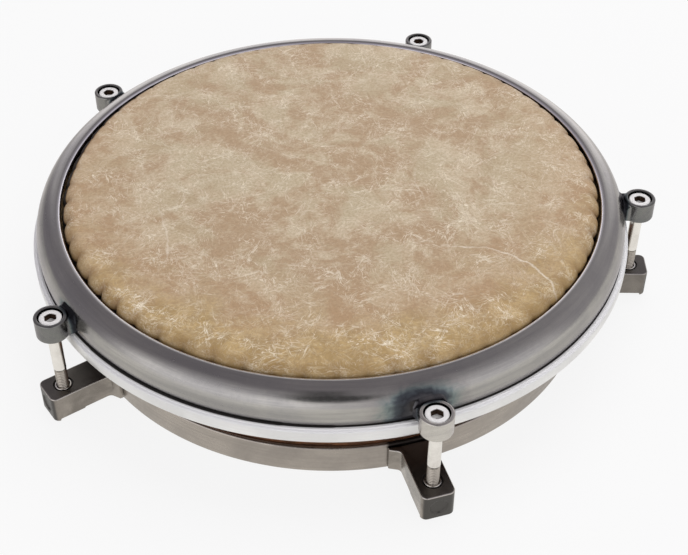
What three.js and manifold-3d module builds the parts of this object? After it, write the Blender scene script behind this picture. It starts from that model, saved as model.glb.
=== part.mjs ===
// Travel conga: a shallow drum with a film head, a rolled tension rim, five bolts and a
// frame ring whose five arms take the bolts.
// Millimetres, +Z up. The origin is the middle of the playing surface, on the drum's axis.

import * as THREE from 'three';
import { mergeVertices } from 'three/addons/utils/BufferGeometryUtils.js';
import Module from 'manifold-3d';

// Whole drum
const drumHeight = 78.5;
const shellDiameter = 298.4;
const stations = 5;
const firstStationTurn = -Math.PI / 2;

// Clearances
const seatGap = 0.3;
const threadGap = 0.3;
const headGap = 0.75;
const filmSideGap = 3.8;
const lipGap = 0.9;
const ringGap = 0.9;

// Film head
const filmWall = 1.4;
const filmShoulderRadius = 7.6;
const filmStraightHeight = 3;
const filmTuck = 5.5;

// Tension rim, a rolled sheet
const rimReach = 15.2;
const rimDrop = 3.2;
const rimHeight = 19.7;
const rimRollHeight = 15.3;
const rimLipCurl = 2.2;
const rimLipDip = 0.3;
const rimWall = 2.6;
const rimFootDraft = 0.6;

// Crown hoop, which holds the film's edge in a groove
const hoopOverhang = 2.7;
const hoopHeight = 8.6;
const hoopBeadWidth = 8.2;
const hoopGrooveWidth = 2.2;
const hoopInnerWall = 1.6;
const hoopFloor = 2;
const hoopInnerDrop = 1.2;
const hoopStepWidth = 1.5;
const hoopStepDrop = 1;
const hoopEdgeRadius = 1.1;

// Ears on the rim
const earOffset = 9.5;
const earRadius = 8.9;
const earDrop = 7.3;
const earHeight = 12;
const earFloor = 2.8;
const earEdge = 0.5;
const neckWidth = 14;
const neckRootWidth = 21;
const neckRootReach = 0.9;
const neckFlareReach = 3;
const neckDrop = 1.3;
const neckCornerRadius = 2.4;

// Tension bolts and their washers
const boltHeadRadius = 6.2;
const boltHeadSink = 1;
const boltShankRadius = 3.55;
const boltThreadRadius = 3.4;
const boltThreadTop = 30;
const boltJointDepth = 0.5;
const boltJointHeight = 0.7;
const boltFoot = 3.2;
const boltEdge = 0.55;
const keySize = 6;
const keyDepth = 3.6;
const boltWasherWall = 0.9;
const boltWasherMargin = 0.3;

// Frame ring
const ringHeight = 18.7;
const ringWall = 2.5;
const ringFlangeWidth = 11;
const ringFlangeWall = 2.4;
const ringBendRadius = 2.2;
const ringLipRadius = 0.8;

// Bearing shell
const shellWall = 12;
const bearingRadius = 6;
const bearingFlat = 1.8;
const bearingBevelDrop = 5;
const shellFootRadius = 1;

// Arms on the frame ring
const armHeight = 17;
const armWidth = 18.5;
const armEndMargin = 11;
const armRootWidth = 30;
const armRootReach = 1.6;
const armFlareReach = 3;
const armFlareRadius = 3;
const armEndRadius = 3.2;
const armEdge = 0.8;
const armLipWidth = 3;
const armPadRise = 1.2;
const armPadLength = 15;
const armWaistRise = 1.9;
const markRecessRadius = 5.2;
const markRecessDepth = 0.5;
const nutRecessMargin = 0.9;
const nutRecessDepth = 1;

// Receiver nuts in the arms
const nutCollarWall = 0.85;
const nutHexSize = 13;
const nutHexFoot = 3.4;
const nutHexTop = 8.6;

// Screws from inside the shell into the arms
const screwRadius = 3;
const screwHeight = 10;
const screwBite = 8;
const screwHoleSpare = 1.2;
const screwHexSize = 10;
const screwHeadHeight = 4;
const screwWasherRadius = 6.5;
const screwWasherWall = 1.4;

// How finely round shapes are faceted
const facetsPerStation = 12;
const smallFacets = 16;
const washerFacets = 12;
const edgeSteps = 1;
const curveSteps = 3;
const rollSteps = 5;
const flareSteps = 4;
const joinDistance = 1e-4;
const cutOverrun = 2;
const largestFilletShare = 0.48;
const noseShare = 0.35;

// Radii and heights that follow from the sizes
const ringFacets = facetsPerStation * stations;
const shellRadius = shellDiameter / 2;
const filmRadius = shellRadius + filmSideGap + filmWall;
const filmUnderside = drumHeight - filmWall;
const lipRadius = filmRadius + lipGap;
const rimRadius = lipRadius + rimReach;
const rimTop = drumHeight - rimDrop;
const rimFoot = rimTop - rimHeight;
const rimWidest = rimTop - rimRollHeight;
const hoopRadius = rimRadius + hoopOverhang;
const hoopTop = rimFoot - seatGap;
const hoopFoot = hoopTop - hoopHeight;
const grooveOuterRadius = hoopRadius - hoopBeadWidth;
const grooveInnerRadius = grooveOuterRadius - hoopGrooveWidth;
const filmEdgeRadius = (grooveOuterRadius + grooveInnerRadius + filmWall) / 2;
const filmEdgeFoot = hoopFoot + hoopFloor + seatGap;
const boltCircle = rimRadius + earOffset;
const earTop = rimTop - earDrop;
const earFoot = earTop - earHeight;
const earSeat = earFoot + earFloor;
const boltWasherFoot = earSeat + seatGap;
const boltHeadFoot = boltWasherFoot + boltWasherWall + seatGap;
const boltHeadTop = earTop - boltHeadSink;
const ringInnerRadius = shellRadius + ringGap;
const ringRadius = ringInnerRadius + ringWall;
const flangeRadius = ringRadius - ringWall - ringFlangeWidth;
const shellFoot = ringFlangeWall + seatGap;
const shellInnerRadius = shellRadius - shellWall;
const shellTop = filmUnderside - seatGap;
const armEnd = boltCircle + armEndMargin;
const armRoot = ringRadius + seatGap;
const nutBoreRadius = boltThreadRadius + threadGap;
const nutCollarRadius = nutBoreRadius + nutCollarWall;
const screwHoleRadius = screwRadius + threadGap;
const screwTip = armRoot + screwBite;
const screwSeat = shellInnerRadius - screwWasherRadius * Math.tan(Math.PI / ringFacets);
const screwWasherInner = screwSeat - seatGap - screwWasherWall;
const screwHeadInner = screwWasherInner - seatGap - screwHeadHeight;

// Looks
const gunmetal = { color: 0x66625f, roughness: 0.34, metalness: 0.9 };
const heatDarkened = { color: 0x55585c, roughness: 0.34, metalness: 0.9 };
const brightAluminium = { color: 0xe3e3e5, roughness: 0.3, metalness: 0.85 };
const fibreFilm = { color: 0xbfa987, roughness: 0.6, metalness: 0 };
const nickel = { color: 0xcfc8bf, roughness: 0.25, metalness: 0.95 };
const castGrey = { color: 0x57534f, roughness: 0.4, metalness: 0.7 };
const lacqueredWood = { color: 0x5a3420, roughness: 0.25, metalness: 0 };
const zincSteel = { color: 0xa9a9a6, roughness: 0.4, metalness: 0.9 };

const manifold = await Module();
manifold.setup();

// A closed body as a solid: corners that coincide are joined, and triangles that
// shrink to a line there are dropped.
function solidOf(geometry) {
  const bare = geometry.clone();
  bare.deleteAttribute('normal');
  bare.deleteAttribute('uv');
  const joined = mergeVertices(bare, joinDistance);
  const corners = joined.index.array;
  const kept = [];
  for (let i = 0; i < corners.length; i += 3) {
    const [a, b, c] = corners.subarray(i, i + 3);
    if (a !== b && b !== c && c !== a) kept.push(a, b, c);
  }
  return new manifold.Manifold(new manifold.Mesh({
    numProp: 3,
    vertProperties: new Float32Array(joined.attributes.position.array),
    triVerts: new Uint32Array(kept),
  }));
}

// Rounds the corners of a closed outline. Each corner is [across, up, radius, steps].
function rounded(corners) {
  const count = corners.length;
  return corners.flatMap(([x, y, radius = 0, steps = edgeSteps], i) => {
    if (radius === 0) return [new THREE.Vector2(x, y)];
    const corner = new THREE.Vector2(x, y);
    const before = corners[(i + count - 1) % count];
    const after = corners[(i + 1) % count];
    const back = new THREE.Vector2(before[0], before[1]).sub(corner);
    const ahead = new THREE.Vector2(after[0], after[1]).sub(corner);
    const room = largestFilletShare * Math.min(back.length(), ahead.length());
    back.normalize();
    ahead.normalize();
    const halfAngle = Math.acos(back.dot(ahead)) / 2;
    const reach = Math.min(radius / Math.tan(halfAngle), room);
    const centreDistance = reach / Math.cos(halfAngle);
    const centre = back.clone().add(ahead).setLength(centreDistance).add(corner);
    const start = back.multiplyScalar(reach).add(corner).sub(centre);
    const end = ahead.multiplyScalar(reach).add(corner).sub(centre);
    const sweep = Math.atan2(start.cross(end), start.dot(end));
    const middle = new THREE.Vector2();
    return Array.from({ length: steps + 1 }, (_, k) =>
      start.clone().rotateAround(middle, sweep * k / steps).add(centre));
  });
}

// The line that runs one wall to the right of a line, going along it.
function wallInside(line, wall) {
  return line.map((point, i) => {
    const from = line[Math.max(i - 1, 0)];
    const to = line[Math.min(i + 1, line.length - 1)];
    const along = to.clone().sub(from).normalize();
    return new THREE.Vector2(point.x + along.y * wall, point.y - along.x * wall);
  });
}

// Turns an outline of [radius, height] points about the drum's axis. An outline that
// touches the axis starts and ends on it; any other is closed on itself.
function turned(outline, facets) {
  const points = outline.map((point) => point.clone());
  if (THREE.ShapeUtils.isClockWise(points)) points.reverse();
  if (points.every((point) => point.x > joinDistance)) points.push(points[0].clone());
  return solidOf(new THREE.LatheGeometry(points, facets).rotateX(Math.PI / 2));
}

// An upright round bar or hole, centred at a distance out from the axis.
function upright(radius, low, high, out, facets = smallFacets) {
  const bar = new THREE.CylinderGeometry(radius, radius, high - low, facets);
  return solidOf(bar.rotateX(Math.PI / 2).translate(out, 0, (low + high) / 2));
}

// A round bar or hole that lies along the radius, at a height.
function lying(radius, from, to, height, facets = smallFacets) {
  const bar = new THREE.CylinderGeometry(radius, radius, to - from, facets);
  return solidOf(bar.rotateZ(Math.PI / 2).translate((from + to) / 2, 0, height));
}

// A box between two radii and two heights.
function block(from, to, width, low, high) {
  const box = new THREE.BoxGeometry(to - from, width, high - low);
  return solidOf(box.translate((from + to) / 2, 0, (low + high) / 2));
}

// The half diagonal of a hexagon that measures a size across its flats.
function hexCorner(size) {
  return size / Math.sqrt(3);
}

// The plan of a bar that stands out from a round wall and widens where it meets it.
function flaredPlan({
  root, shoulder, waist, end, rootWidth, width, cornerRadius, endRadius,
}) {
  const side = [
    [root, rootWidth / 2],
    [shoulder, rootWidth / 2],
    [waist, width / 2, cornerRadius, edgeSteps],
    [end, width / 2, endRadius, curveSteps],
  ];
  const mirrored = side.map(([x, y, ...rest]) => [x, -y, ...rest]).reverse();
  return new THREE.Shape(rounded([...mirrored, ...side]));
}

// An upright bar of that plan with softened edges.
function flaredBar(plan, low, high, edge) {
  const bar = new THREE.ExtrudeGeometry(plan, {
    depth: high - low - 2 * edge,
    bevelEnabled: edge > 0,
    bevelThickness: edge,
    bevelSize: edge,
    bevelOffset: -edge,
    bevelSegments: 1,
    steps: 1,
  });
  return solidOf(bar.translate(0, 0, low + edge));
}

// Film head: flat face, shoulder over the bearing edge, then a flare out to the hoop.
function filmHead() {
  const straightFoot = drumHeight - filmShoulderRadius - filmStraightHeight;
  const edgeTop = hoopTop + seatGap;
  const flareMiddle = (straightFoot + edgeTop) / 2;
  const face = rounded([
    [0, drumHeight],
    [filmRadius, drumHeight, filmShoulderRadius, curveSteps],
    [filmRadius, straightFoot],
  ]);
  const flare = new THREE.CubicBezierCurve(
    new THREE.Vector2(filmRadius, straightFoot),
    new THREE.Vector2(filmRadius, flareMiddle),
    new THREE.Vector2(filmEdgeRadius, flareMiddle),
    new THREE.Vector2(filmEdgeRadius, edgeTop),
  );
  const outer = [
    ...face,
    ...flare.getPoints(flareSteps).slice(1),
    new THREE.Vector2(filmEdgeRadius, Math.max(filmEdgeFoot, edgeTop - filmTuck)),
  ];
  return turned([...outer, ...wallInside(outer, filmWall).reverse()], ringFacets);
}

// The outer line of the rolled rim, from its foot over the roll to its lip.
function rimLine(swell) {
  const crest = lipRadius + rimLipCurl;
  const roll = new THREE.EllipseCurve(
    crest, rimWidest, rimRadius - crest + swell, rimRollHeight + swell, 0, Math.PI / 2,
  );
  return [
    new THREE.Vector2(rimRadius - rimFootDraft + swell, rimFoot),
    ...roll.getPoints(rollSteps),
  ];
}

function tensionRim() {
  const outer = rimLine(0);
  const crest = outer[outer.length - 1];
  const nose = rimWall * noseShare;
  outer.push(new THREE.Vector2(lipRadius + nose, crest.y - rimLipDip));
  const inner = wallInside(outer, -rimWall);
  const noseHeight = crest.y - rimLipDip - rimWall / 2;
  const tip = new THREE.Vector2(lipRadius, noseHeight);
  return turned([...outer, tip, ...inner.reverse()], ringFacets);
}

// Everything that the rim's outer face encloses, with the gap that welded pieces keep.
function rimEnvelope() {
  const line = rimLine(seatGap);
  const crest = line[line.length - 1];
  const foot = new THREE.Vector2(line[0].x, rimFoot - cutOverrun);
  const outline = [
    new THREE.Vector2(0, rimFoot - cutOverrun),
    foot,
    ...line,
    new THREE.Vector2(0, crest.y),
  ];
  return turned(outline, ringFacets);
}

function crownHoop() {
  const innerRadius = grooveInnerRadius - hoopInnerWall;
  const stepRadius = hoopRadius - hoopStepWidth;
  const stepTop = hoopTop - hoopStepDrop;
  const grooveFloor = hoopFoot + hoopFloor;
  return turned(rounded([
    [innerRadius, hoopFoot],
    [hoopRadius, hoopFoot, hoopEdgeRadius],
    [hoopRadius, stepTop, hoopEdgeRadius],
    [stepRadius, stepTop],
    [stepRadius, hoopTop],
    [grooveOuterRadius, hoopTop],
    [grooveOuterRadius, grooveFloor],
    [grooveInnerRadius, grooveFloor],
    [grooveInnerRadius, hoopTop - hoopInnerDrop],
    [innerRadius, hoopTop - hoopInnerDrop],
  ]), ringFacets);
}

// Ear: a counterbored barrel on a neck that is welded to the rim.
function rimEar() {
  const boreRadius = boltHeadRadius + headGap;
  const holeRadius = boltShankRadius + threadGap;
  const barrelOutline = rounded([
    [0, earFoot],
    [earRadius, earFoot, earEdge],
    [earRadius, earTop, earEdge],
    [0, earTop],
  ]);
  const barrel = turned(barrelOutline, smallFacets).translate([boltCircle, 0, 0]);
  const neckPlan = flaredPlan({
    root: rimRadius - rimWall,
    shoulder: rimRadius + neckRootReach,
    waist: rimRadius + neckFlareReach,
    end: boltCircle,
    rootWidth: neckRootWidth,
    width: neckWidth,
    cornerRadius: neckCornerRadius,
    endRadius: 0,
  });
  return barrel
    .add(flaredBar(neckPlan, earFoot, earTop - neckDrop, earEdge))
    .subtract(upright(boreRadius, earSeat, earTop + cutOverrun, boltCircle))
    .subtract(upright(holeRadius, earFoot - cutOverrun, earTop, boltCircle))
    .subtract(rimEnvelope());
}

// Socket-head bolt: smooth shank above, thread below a narrow joint line.
function tensionBolt() {
  const jointFoot = boltThreadTop - boltJointHeight;
  const jointRadius = boltThreadRadius - boltJointDepth;
  const body = turned(rounded([
    [0, boltHeadTop],
    [boltHeadRadius, boltHeadTop, boltEdge],
    [boltHeadRadius, boltHeadFoot],
    [boltShankRadius, boltHeadFoot],
    [boltShankRadius, boltThreadTop, boltEdge],
    [jointRadius, boltThreadTop],
    [jointRadius, jointFoot],
    [boltThreadRadius, jointFoot],
    [boltThreadRadius, boltFoot, boltEdge],
    [0, boltFoot],
  ]), smallFacets);
  const keyTop = boltHeadTop + cutOverrun;
  const socket = upright(hexCorner(keySize), boltHeadTop - keyDepth, keyTop, 0, 6);
  return body.subtract(socket);
}

function washer(innerRadius, outerRadius, wall) {
  return turned(rounded([
    [innerRadius, 0],
    [outerRadius, 0],
    [outerRadius, wall],
    [innerRadius, wall],
  ]), washerFacets);
}

// Frame ring: an upright band with an inward flange that carries the shell.
function frameRing() {
  const band = turned(rounded([
    [flangeRadius, 0],
    [ringRadius, 0, ringBendRadius],
    [ringRadius, ringHeight, ringLipRadius],
    [ringInnerRadius, ringHeight, ringLipRadius],
    [ringInnerRadius, ringFlangeWall, ringLipRadius],
    [flangeRadius, ringFlangeWall],
  ]), ringFacets);
  return drilled(band, ringInnerRadius - cutOverrun, ringRadius + cutOverrun);
}

// Shell: a plain ring with a rounded bearing edge, bevelled on its inner side.
function bearingShell() {
  const peakRadius = shellRadius - bearingRadius - bearingFlat;
  const body = turned(rounded([
    [shellInnerRadius, shellFoot],
    [shellRadius, shellFoot, shellFootRadius],
    [shellRadius, shellTop, bearingRadius, curveSteps],
    [peakRadius, shellTop],
    [shellInnerRadius, shellTop - bearingBevelDrop],
  ]), ringFacets);
  return drilled(body, shellInnerRadius - cutOverrun, shellRadius + cutOverrun);
}

// A ring with one screw hole at each station.
function drilled(ring, from, to) {
  let result = ring;
  for (let i = 0; i < stations; i += 1) {
    const turn = THREE.MathUtils.radToDeg(stationTurn(i));
    const hole = lying(screwHoleRadius, from, to, screwHeight, washerFacets);
    result = result.subtract(hole.rotate([0, 0, turn]));
  }
  return result;
}

function stationTurn(i) {
  return firstStationTurn - 2 * Math.PI * i / stations;
}

// Arm: a cast bar with a flared root, a stepped underside and a pocket for the nut.
function ringArm() {
  const plan = flaredPlan({
    root: ringInnerRadius,
    shoulder: ringRadius + armRootReach,
    waist: ringRadius + armRootReach + armFlareReach,
    end: armEnd,
    rootWidth: armRootWidth,
    width: armWidth,
    cornerRadius: armFlareRadius,
    endRadius: armEndRadius,
  });
  const padEnd = armEnd - armLipWidth;
  const padStart = padEnd - armPadLength;
  const low = -cutOverrun;
  const reach = armRootWidth + cutOverrun;
  const wall = upright(ringRadius + seatGap, low, armHeight + cutOverrun, 0, ringFacets);
  const pocketCorner = hexCorner(nutHexSize + 2 * threadGap);
  const recessRadius = nutCollarRadius + nutRecessMargin;
  const recessTop = armHeight + cutOverrun;
  const sleeveRadius = nutCollarRadius + threadGap;
  const pocketTop = nutHexTop + seatGap;
  const markEnd = armEnd + cutOverrun;
  return flaredBar(plan, 0, armHeight, armEdge)
    .subtract(wall)
    .subtract(block(ringInnerRadius, padStart, reach, low, armWaistRise))
    .subtract(block(padStart - cutOverrun, padEnd, reach, low, armPadRise))
    .subtract(upright(recessRadius, armHeight - nutRecessDepth, recessTop, boltCircle))
    .subtract(upright(sleeveRadius, low, recessTop, boltCircle))
    .subtract(flatSided(pocketCorner, low, pocketTop))
    .subtract(lying(markRecessRadius, armEnd - markRecessDepth, markEnd, armHeight / 2))
    .subtract(lying(screwHoleRadius, ringInnerRadius, screwTip + screwHoleSpare, screwHeight));
}

// An upright hexagon at the bolt circle, with two flats along the arm's sides.
function flatSided(corner, low, high) {
  const bar = new THREE.CylinderGeometry(corner, corner, high - low, 6);
  bar.rotateX(Math.PI / 2).rotateZ(Math.PI / 6);
  return solidOf(bar.translate(boltCircle, 0, (low + high) / 2));
}

// Receiver nut: a hexagon in the arm's pocket and a round collar up to the arm's top.
function receiverNut() {
  const collar = upright(nutCollarRadius, nutHexFoot, armHeight, boltCircle);
  const boreTop = armHeight + cutOverrun;
  const bore = upright(nutBoreRadius, nutHexFoot - cutOverrun, boreTop, boltCircle);
  return flatSided(hexCorner(nutHexSize), nutHexFoot, nutHexTop).add(collar).subtract(bore);
}

function armScrew() {
  const headOuter = screwHeadInner + screwHeadHeight;
  const head = lying(hexCorner(screwHexSize), screwHeadInner, headOuter, screwHeight, 6);
  return head.add(lying(screwRadius, screwHeadInner, screwTip, screwHeight, washerFacets));
}

function screwWasher() {
  return washer(screwHoleRadius, screwWasherRadius, screwWasherWall)
    .rotate([0, 90, 0])
    .translate([screwWasherInner, 0, screwHeight]);
}

// Puts a finished solid in the scene graph as a named mesh with its own material.
function place(parent, name, solid, look) {
  const { vertProperties, triVerts } = solid.getMesh();
  const geometry = new THREE.BufferGeometry();
  geometry.setAttribute('position', new THREE.BufferAttribute(vertProperties, 3));
  geometry.setIndex(new THREE.BufferAttribute(triVerts, 1));
  geometry.computeVertexNormals();
  const mesh = new THREE.Mesh(geometry, new THREE.MeshStandardMaterial(look));
  mesh.name = name;
  parent.add(mesh);
  return mesh;
}

// The drum is built upwards from the plane it stands on, then lowered to its origin.
const group = new THREE.Group();
const drum = new THREE.Group();
drum.position.z = -drumHeight;
group.add(drum);

place(drum, 'drumhead', filmHead(), fibreFilm);
place(drum, 'crown_hoop', crownHoop(), brightAluminium);
place(drum, 'tension_rim', tensionRim(), gunmetal);
place(drum, 'bearing_shell', bearingShell(), lacqueredWood);
place(drum, 'frame_ring', frameRing(), gunmetal);

const ear = rimEar();
const bolt = tensionBolt();
const arm = ringArm();
const nut = receiverNut();
const screw = armScrew();
const headWasherRadius = boltHeadRadius + boltWasherMargin;
const headWasher = washer(boltShankRadius + threadGap, headWasherRadius, boltWasherWall);
const wallWasher = screwWasher();
for (let i = 0; i < stations; i += 1) {
  const station = new THREE.Group();
  station.rotation.z = stationTurn(i);
  drum.add(station);
  const label = i + 1;
  place(station, `rim_ear_${label}`, ear, heatDarkened);
  place(station, `arm_${label}`, arm, castGrey);
  place(station, `receiver_nut_${label}`, nut, nickel);
  place(station, `arm_screw_${label}`, screw, zincSteel);
  place(station, `screw_washer_${label}`, wallWasher, zincSteel);
  place(station, `bolt_washer_${label}`, headWasher, zincSteel)
    .position.set(boltCircle, 0, boltWasherFoot);
  // All key sockets stand the same way round, as the front one does.
  const boltMesh = place(station, `tension_bolt_${label}`, bolt, nickel);
  boltMesh.position.x = boltCircle;
  boltMesh.rotation.z = -stationTurn(i);
}

export default group;
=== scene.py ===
# %% [markdown]
# # Travel conga
# A shallow hand drum: a fibre-patterned film head under a rolled metal rim, a bright hoop, a lacquered
# shell, and a frame ring with five arms. Five socket-head bolts pull the rim down. Each visible piece
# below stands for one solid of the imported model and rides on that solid's body, so it slides with the
# rim or turns with its bolt.

import bpy
import numpy as np
from mathutils import Matrix


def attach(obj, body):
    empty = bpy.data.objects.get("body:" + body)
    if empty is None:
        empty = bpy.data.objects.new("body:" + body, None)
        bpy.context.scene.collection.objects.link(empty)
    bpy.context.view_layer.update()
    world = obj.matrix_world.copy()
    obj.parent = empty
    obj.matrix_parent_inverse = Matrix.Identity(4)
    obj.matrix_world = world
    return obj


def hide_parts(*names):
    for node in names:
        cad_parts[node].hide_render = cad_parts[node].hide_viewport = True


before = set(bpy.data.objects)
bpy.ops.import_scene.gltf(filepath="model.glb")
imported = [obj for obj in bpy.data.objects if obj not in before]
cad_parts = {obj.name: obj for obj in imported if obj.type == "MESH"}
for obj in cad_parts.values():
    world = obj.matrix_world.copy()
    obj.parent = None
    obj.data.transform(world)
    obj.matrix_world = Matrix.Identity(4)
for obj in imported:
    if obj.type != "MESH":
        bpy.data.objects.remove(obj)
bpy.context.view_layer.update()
print("nodes:", len(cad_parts))

# %% [markdown]
# ## Measures that all pieces share
# Sizes are millimetres above the drum's base, as someone at a bench would take them. The bolts, ears
# and arms stand on one circle at five stations, counted clockwise from the front one.

# %% Shared measures
MM = 0.001
DRUM_HEIGHT = 78.5
BOLT_CIRCLE = 180.0
STATIONS = np.radians(-90 - 72 * np.arange(5))
print("stations:", np.degrees(STATIONS))

# %% [markdown]
# ## Outlines and grids
# Most pieces are turned on a lathe or rolled, so their shape is one outline carried round an axis. A
# Screw modifier could do that too. Here an outline is a list of corners with their radii, and a
# formula rounds them, because such a list is easy to measure against the real piece.

# %% Outline helpers
def rounded(corners, steps=6):
    """The outline through corners (x, y, radius). An arc touches both sides of each corner:
    its centre lies on the bisector, the radius divided by the sine of half the angle away."""
    spots = np.array(corners, dtype=float)
    parts = []
    for before, here, after in zip(np.roll(spots, 1, axis=0), spots, np.roll(spots, -1, axis=0)):
        corner, radius = here[:2], here[2]
        if radius == 0:
            parts.append(corner[None])
            continue
        back = (before[:2] - corner) / np.linalg.norm(before[:2] - corner)
        ahead = (after[:2] - corner) / np.linalg.norm(after[:2] - corner)
        half = np.arccos(back @ ahead) / 2
        centre = corner + (back + ahead) / np.linalg.norm(back + ahead) * radius / np.sin(half)
        start = corner + back * radius / np.tan(half) - centre
        end = corner + ahead * radius / np.tan(half) - centre
        sweep = np.arctan2(start[0] * end[1] - start[1] * end[0], start @ end)
        turn = sweep * np.linspace(0, 1, steps + 1)
        across = start[0] * np.cos(turn) - start[1] * np.sin(turn)
        up = start[0] * np.sin(turn) + start[1] * np.cos(turn)
        parts.append(centre + np.stack((across, up), axis=1))
    return np.vstack(parts)


def arc(centre, radii, turn):
    """An ellipse's arc: the centre, plus each radius times the angle's cosine or sine."""
    return np.array(centre) + np.array(radii) * np.stack((np.cos(turn), np.sin(turn)), axis=1)


def spaced(line, gap):
    """The same closed line with points added, so that neighbours lie at most gap apart."""
    ends = np.vstack((line, line[:1]))
    steps = np.ceil(np.linalg.norm(np.diff(ends, axis=0), axis=1) / gap).astype(int)
    steps = np.maximum(steps, 1)
    start = np.repeat(np.arange(len(steps)), steps)
    share = (np.arange(steps.sum()) - np.repeat(np.cumsum(steps) - steps, steps)) / steps[start]
    return ends[start] + (ends[start + 1] - ends[start]) * share[:, None]


print("outline test:", rounded([(0, 0, 1), (4, 0, 1), (4, 4, 1), (0, 4, 1)]).shape)

# %% [markdown]
# A grid is an array of rows x columns x 3 numbers. Whole arrays are worked out at once, which is
# much faster than a loop over points. S-shaped steps blend one measure into another without a kink.

# %% Grid helpers
def around(count):
    """count even steps of angle round the full circle."""
    return np.linspace(0, 2 * np.pi, count, endpoint=False)


def circles(radius, height, angle):
    """Points round the upright axis: radius times cosine, radius times sine, height."""
    place = np.broadcast_arrays(radius * np.cos(angle), radius * np.sin(angle), height)
    return np.stack(place, axis=-1)


def turned(outline, columns):
    """Each outline point (radius, height) becomes a circle of points round the upright axis."""
    return circles(outline[:, 0, None], outline[:, 1, None], around(columns))


def swung(grid, turn):
    """The grid turned round the upright axis: x and y are mixed by the turn's cosine and sine."""
    cos, sin = np.cos(turn), np.sin(turn)
    return grid @ np.array(((cos, sin, 0), (-sin, cos, 0), (0, 0, 1)))


def smoothstep(value, low, high):
    """0 below low, 1 above high, and an S-shaped curve between them."""
    share = np.clip((value - low) / (high - low), 0, 1)
    return share * share * (3 - 2 * share)


print("half way up a step:", smoothstep(0.5, 0, 1))

# %% [markdown]
# ## Grids become pieces
# piece() joins a grid's neighbouring points to faces, turns the faces outwards, gives the piece its
# material, and says which body it rides on and which solid it replaces. A closed mesh has a positive
# volume when its faces point outwards, and that volume is a good number to print.

# %% Faces of a grid
def closed_faces(grid, ring):
    """Points, quads and fans of a grid whose columns close on themselves. With ring the last row
    also joins the first, and otherwise a fan round its middle point closes each end row."""
    rows, columns = grid.shape[:2]
    points = grid.reshape(-1, 3)
    index = np.arange(rows * columns).reshape(rows, columns)
    low = index if ring else index[:-1]
    high = np.roll(index, -1, axis=0) if ring else index[1:]
    quads = np.stack((low, np.roll(low, -1, 1), np.roll(high, -1, 1), high), axis=-1).reshape(-1, 4)
    if ring:
        return points, quads, np.zeros((0, 3), dtype=int)
    points = np.vstack((points, grid[[0, -1]].mean(axis=1)))
    first, last = np.full(columns, rows * columns), np.full(columns, rows * columns + 1)
    foot = np.stack((first, np.roll(index[0], -1), index[0]), axis=1)
    top = np.stack((last, index[-1], np.roll(index[-1], -1)), axis=1)
    return points, quads, np.vstack((foot, top))


print("quads of a tube:", len(closed_faces(np.zeros((3, 8, 3)), True)[1]))

# %% [markdown]
# A crease angle keeps sharp edges sharp under smooth shading. paint() keeps one number for each point
# on the mesh, which the material reads to place wear, heat, painted shade or painted highlights where
# the shape has it.

# %% Pieces and their paints
made = {}


def piece(name, grid, body, nodes, look, ring=True, crease=35):
    """A grid in millimetres becomes a closed mesh in metres. The sum of each triangle's corners'
    triple product, divided by six, is the volume: below zero, the faces are turned round."""
    points, quads, fans = closed_faces(grid, ring)
    triangles = np.vstack((quads[:, [0, 1, 2]], quads[:, [0, 2, 3]], fans))
    a, b, c = points[triangles[:, 0]], points[triangles[:, 1]], points[triangles[:, 2]]
    volume = np.einsum("ij,ij->", a, np.cross(b, c)) / 6
    if volume < 0:
        quads, fans = quads[:, ::-1], fans[:, ::-1]
    mesh = bpy.data.meshes.new(name)
    metres = (points - [0, 0, DRUM_HEIGHT]) * MM
    mesh.from_pydata(metres, [], quads.tolist() + fans.tolist())
    mesh.shade_smooth()
    mesh.set_sharp_from_angle(angle=np.radians(crease))
    mesh.materials.append(look)
    thing = bpy.data.objects.new(name, mesh)
    bpy.context.scene.collection.objects.link(thing)
    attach(thing, body)
    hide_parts(*nodes)
    made[name] = abs(volume)
    print(f"{name}: {len(triangles)} triangles, {abs(volume) / 1000:.1f} cm3")
    return thing


def paint(thing, name, values):
    """One number for each grid point, or for each row, kept on the mesh."""
    count = len(thing.data.vertices)
    if values.ndim == 1:
        values = np.repeat(values, count // len(values))
    padded = np.zeros(count)
    padded[:values.size] = values.reshape(-1)
    thing.data.attributes.new(name, "FLOAT", "POINT").data.foreach_set("value", padded)


print("pieces so far:", len(made))

# %% [markdown]
# ## Materials
# A material is a tree of nodes that ends in one shader. Placing nodes by hand is slow to repeat, so
# small helpers make and wire them. Patterns are noises that read object coordinates, which stay on the
# piece when it moves. A colour is three numbers, and fill() adds its fourth.

# %% Node helpers
def fill(tree, socket, value):
    """Gives a socket its link or its value."""
    if isinstance(value, bpy.types.NodeSocket):
        tree.links.new(value, socket)
    else:
        socket.default_value = (*value, 1.0) if socket.type == "RGBA" else value


def node(tree, kind, inputs=None, **settings):
    """One shader node: settings are its properties, inputs its sockets, by value or by link."""
    made_node = tree.nodes.new("ShaderNode" + kind)
    for key, value in settings.items():
        setattr(made_node, key, value)
    for key, value in (inputs or {}).items():
        fill(tree, made_node.inputs[key], value)
    return made_node


def calculate(tree, operation, *values, clamp=False):
    """A Math node's result."""
    inputs = dict(enumerate(values))
    return node(tree, "Math", inputs, operation=operation, use_clamp=clamp).outputs[0]


def vector(tree, operation, *values, output="Vector", **inputs):
    """A Vector Math node's result. Lengths, distances and dot products come out as Value."""
    inputs.update(enumerate(values))
    return node(tree, "VectorMath", inputs, operation=operation).outputs[output]


print("helpers: fill, node, calculate, vector")

# %% [markdown]
# The next helpers are the ones that a painter would name: mix two colours, carry one range onto
# another, lay a cloudy noise, and read a paint that the mesh holds.

# %% Pattern helpers
def blended(tree, share, first, second, mode="MIX"):
    """A colour between two others."""
    inputs = {0: share, 6: first, 7: second}
    settings = {"data_type": "RGBA", "blend_type": mode, "clamp_factor": True}
    return node(tree, "Mix", inputs, **settings).outputs[2]


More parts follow.
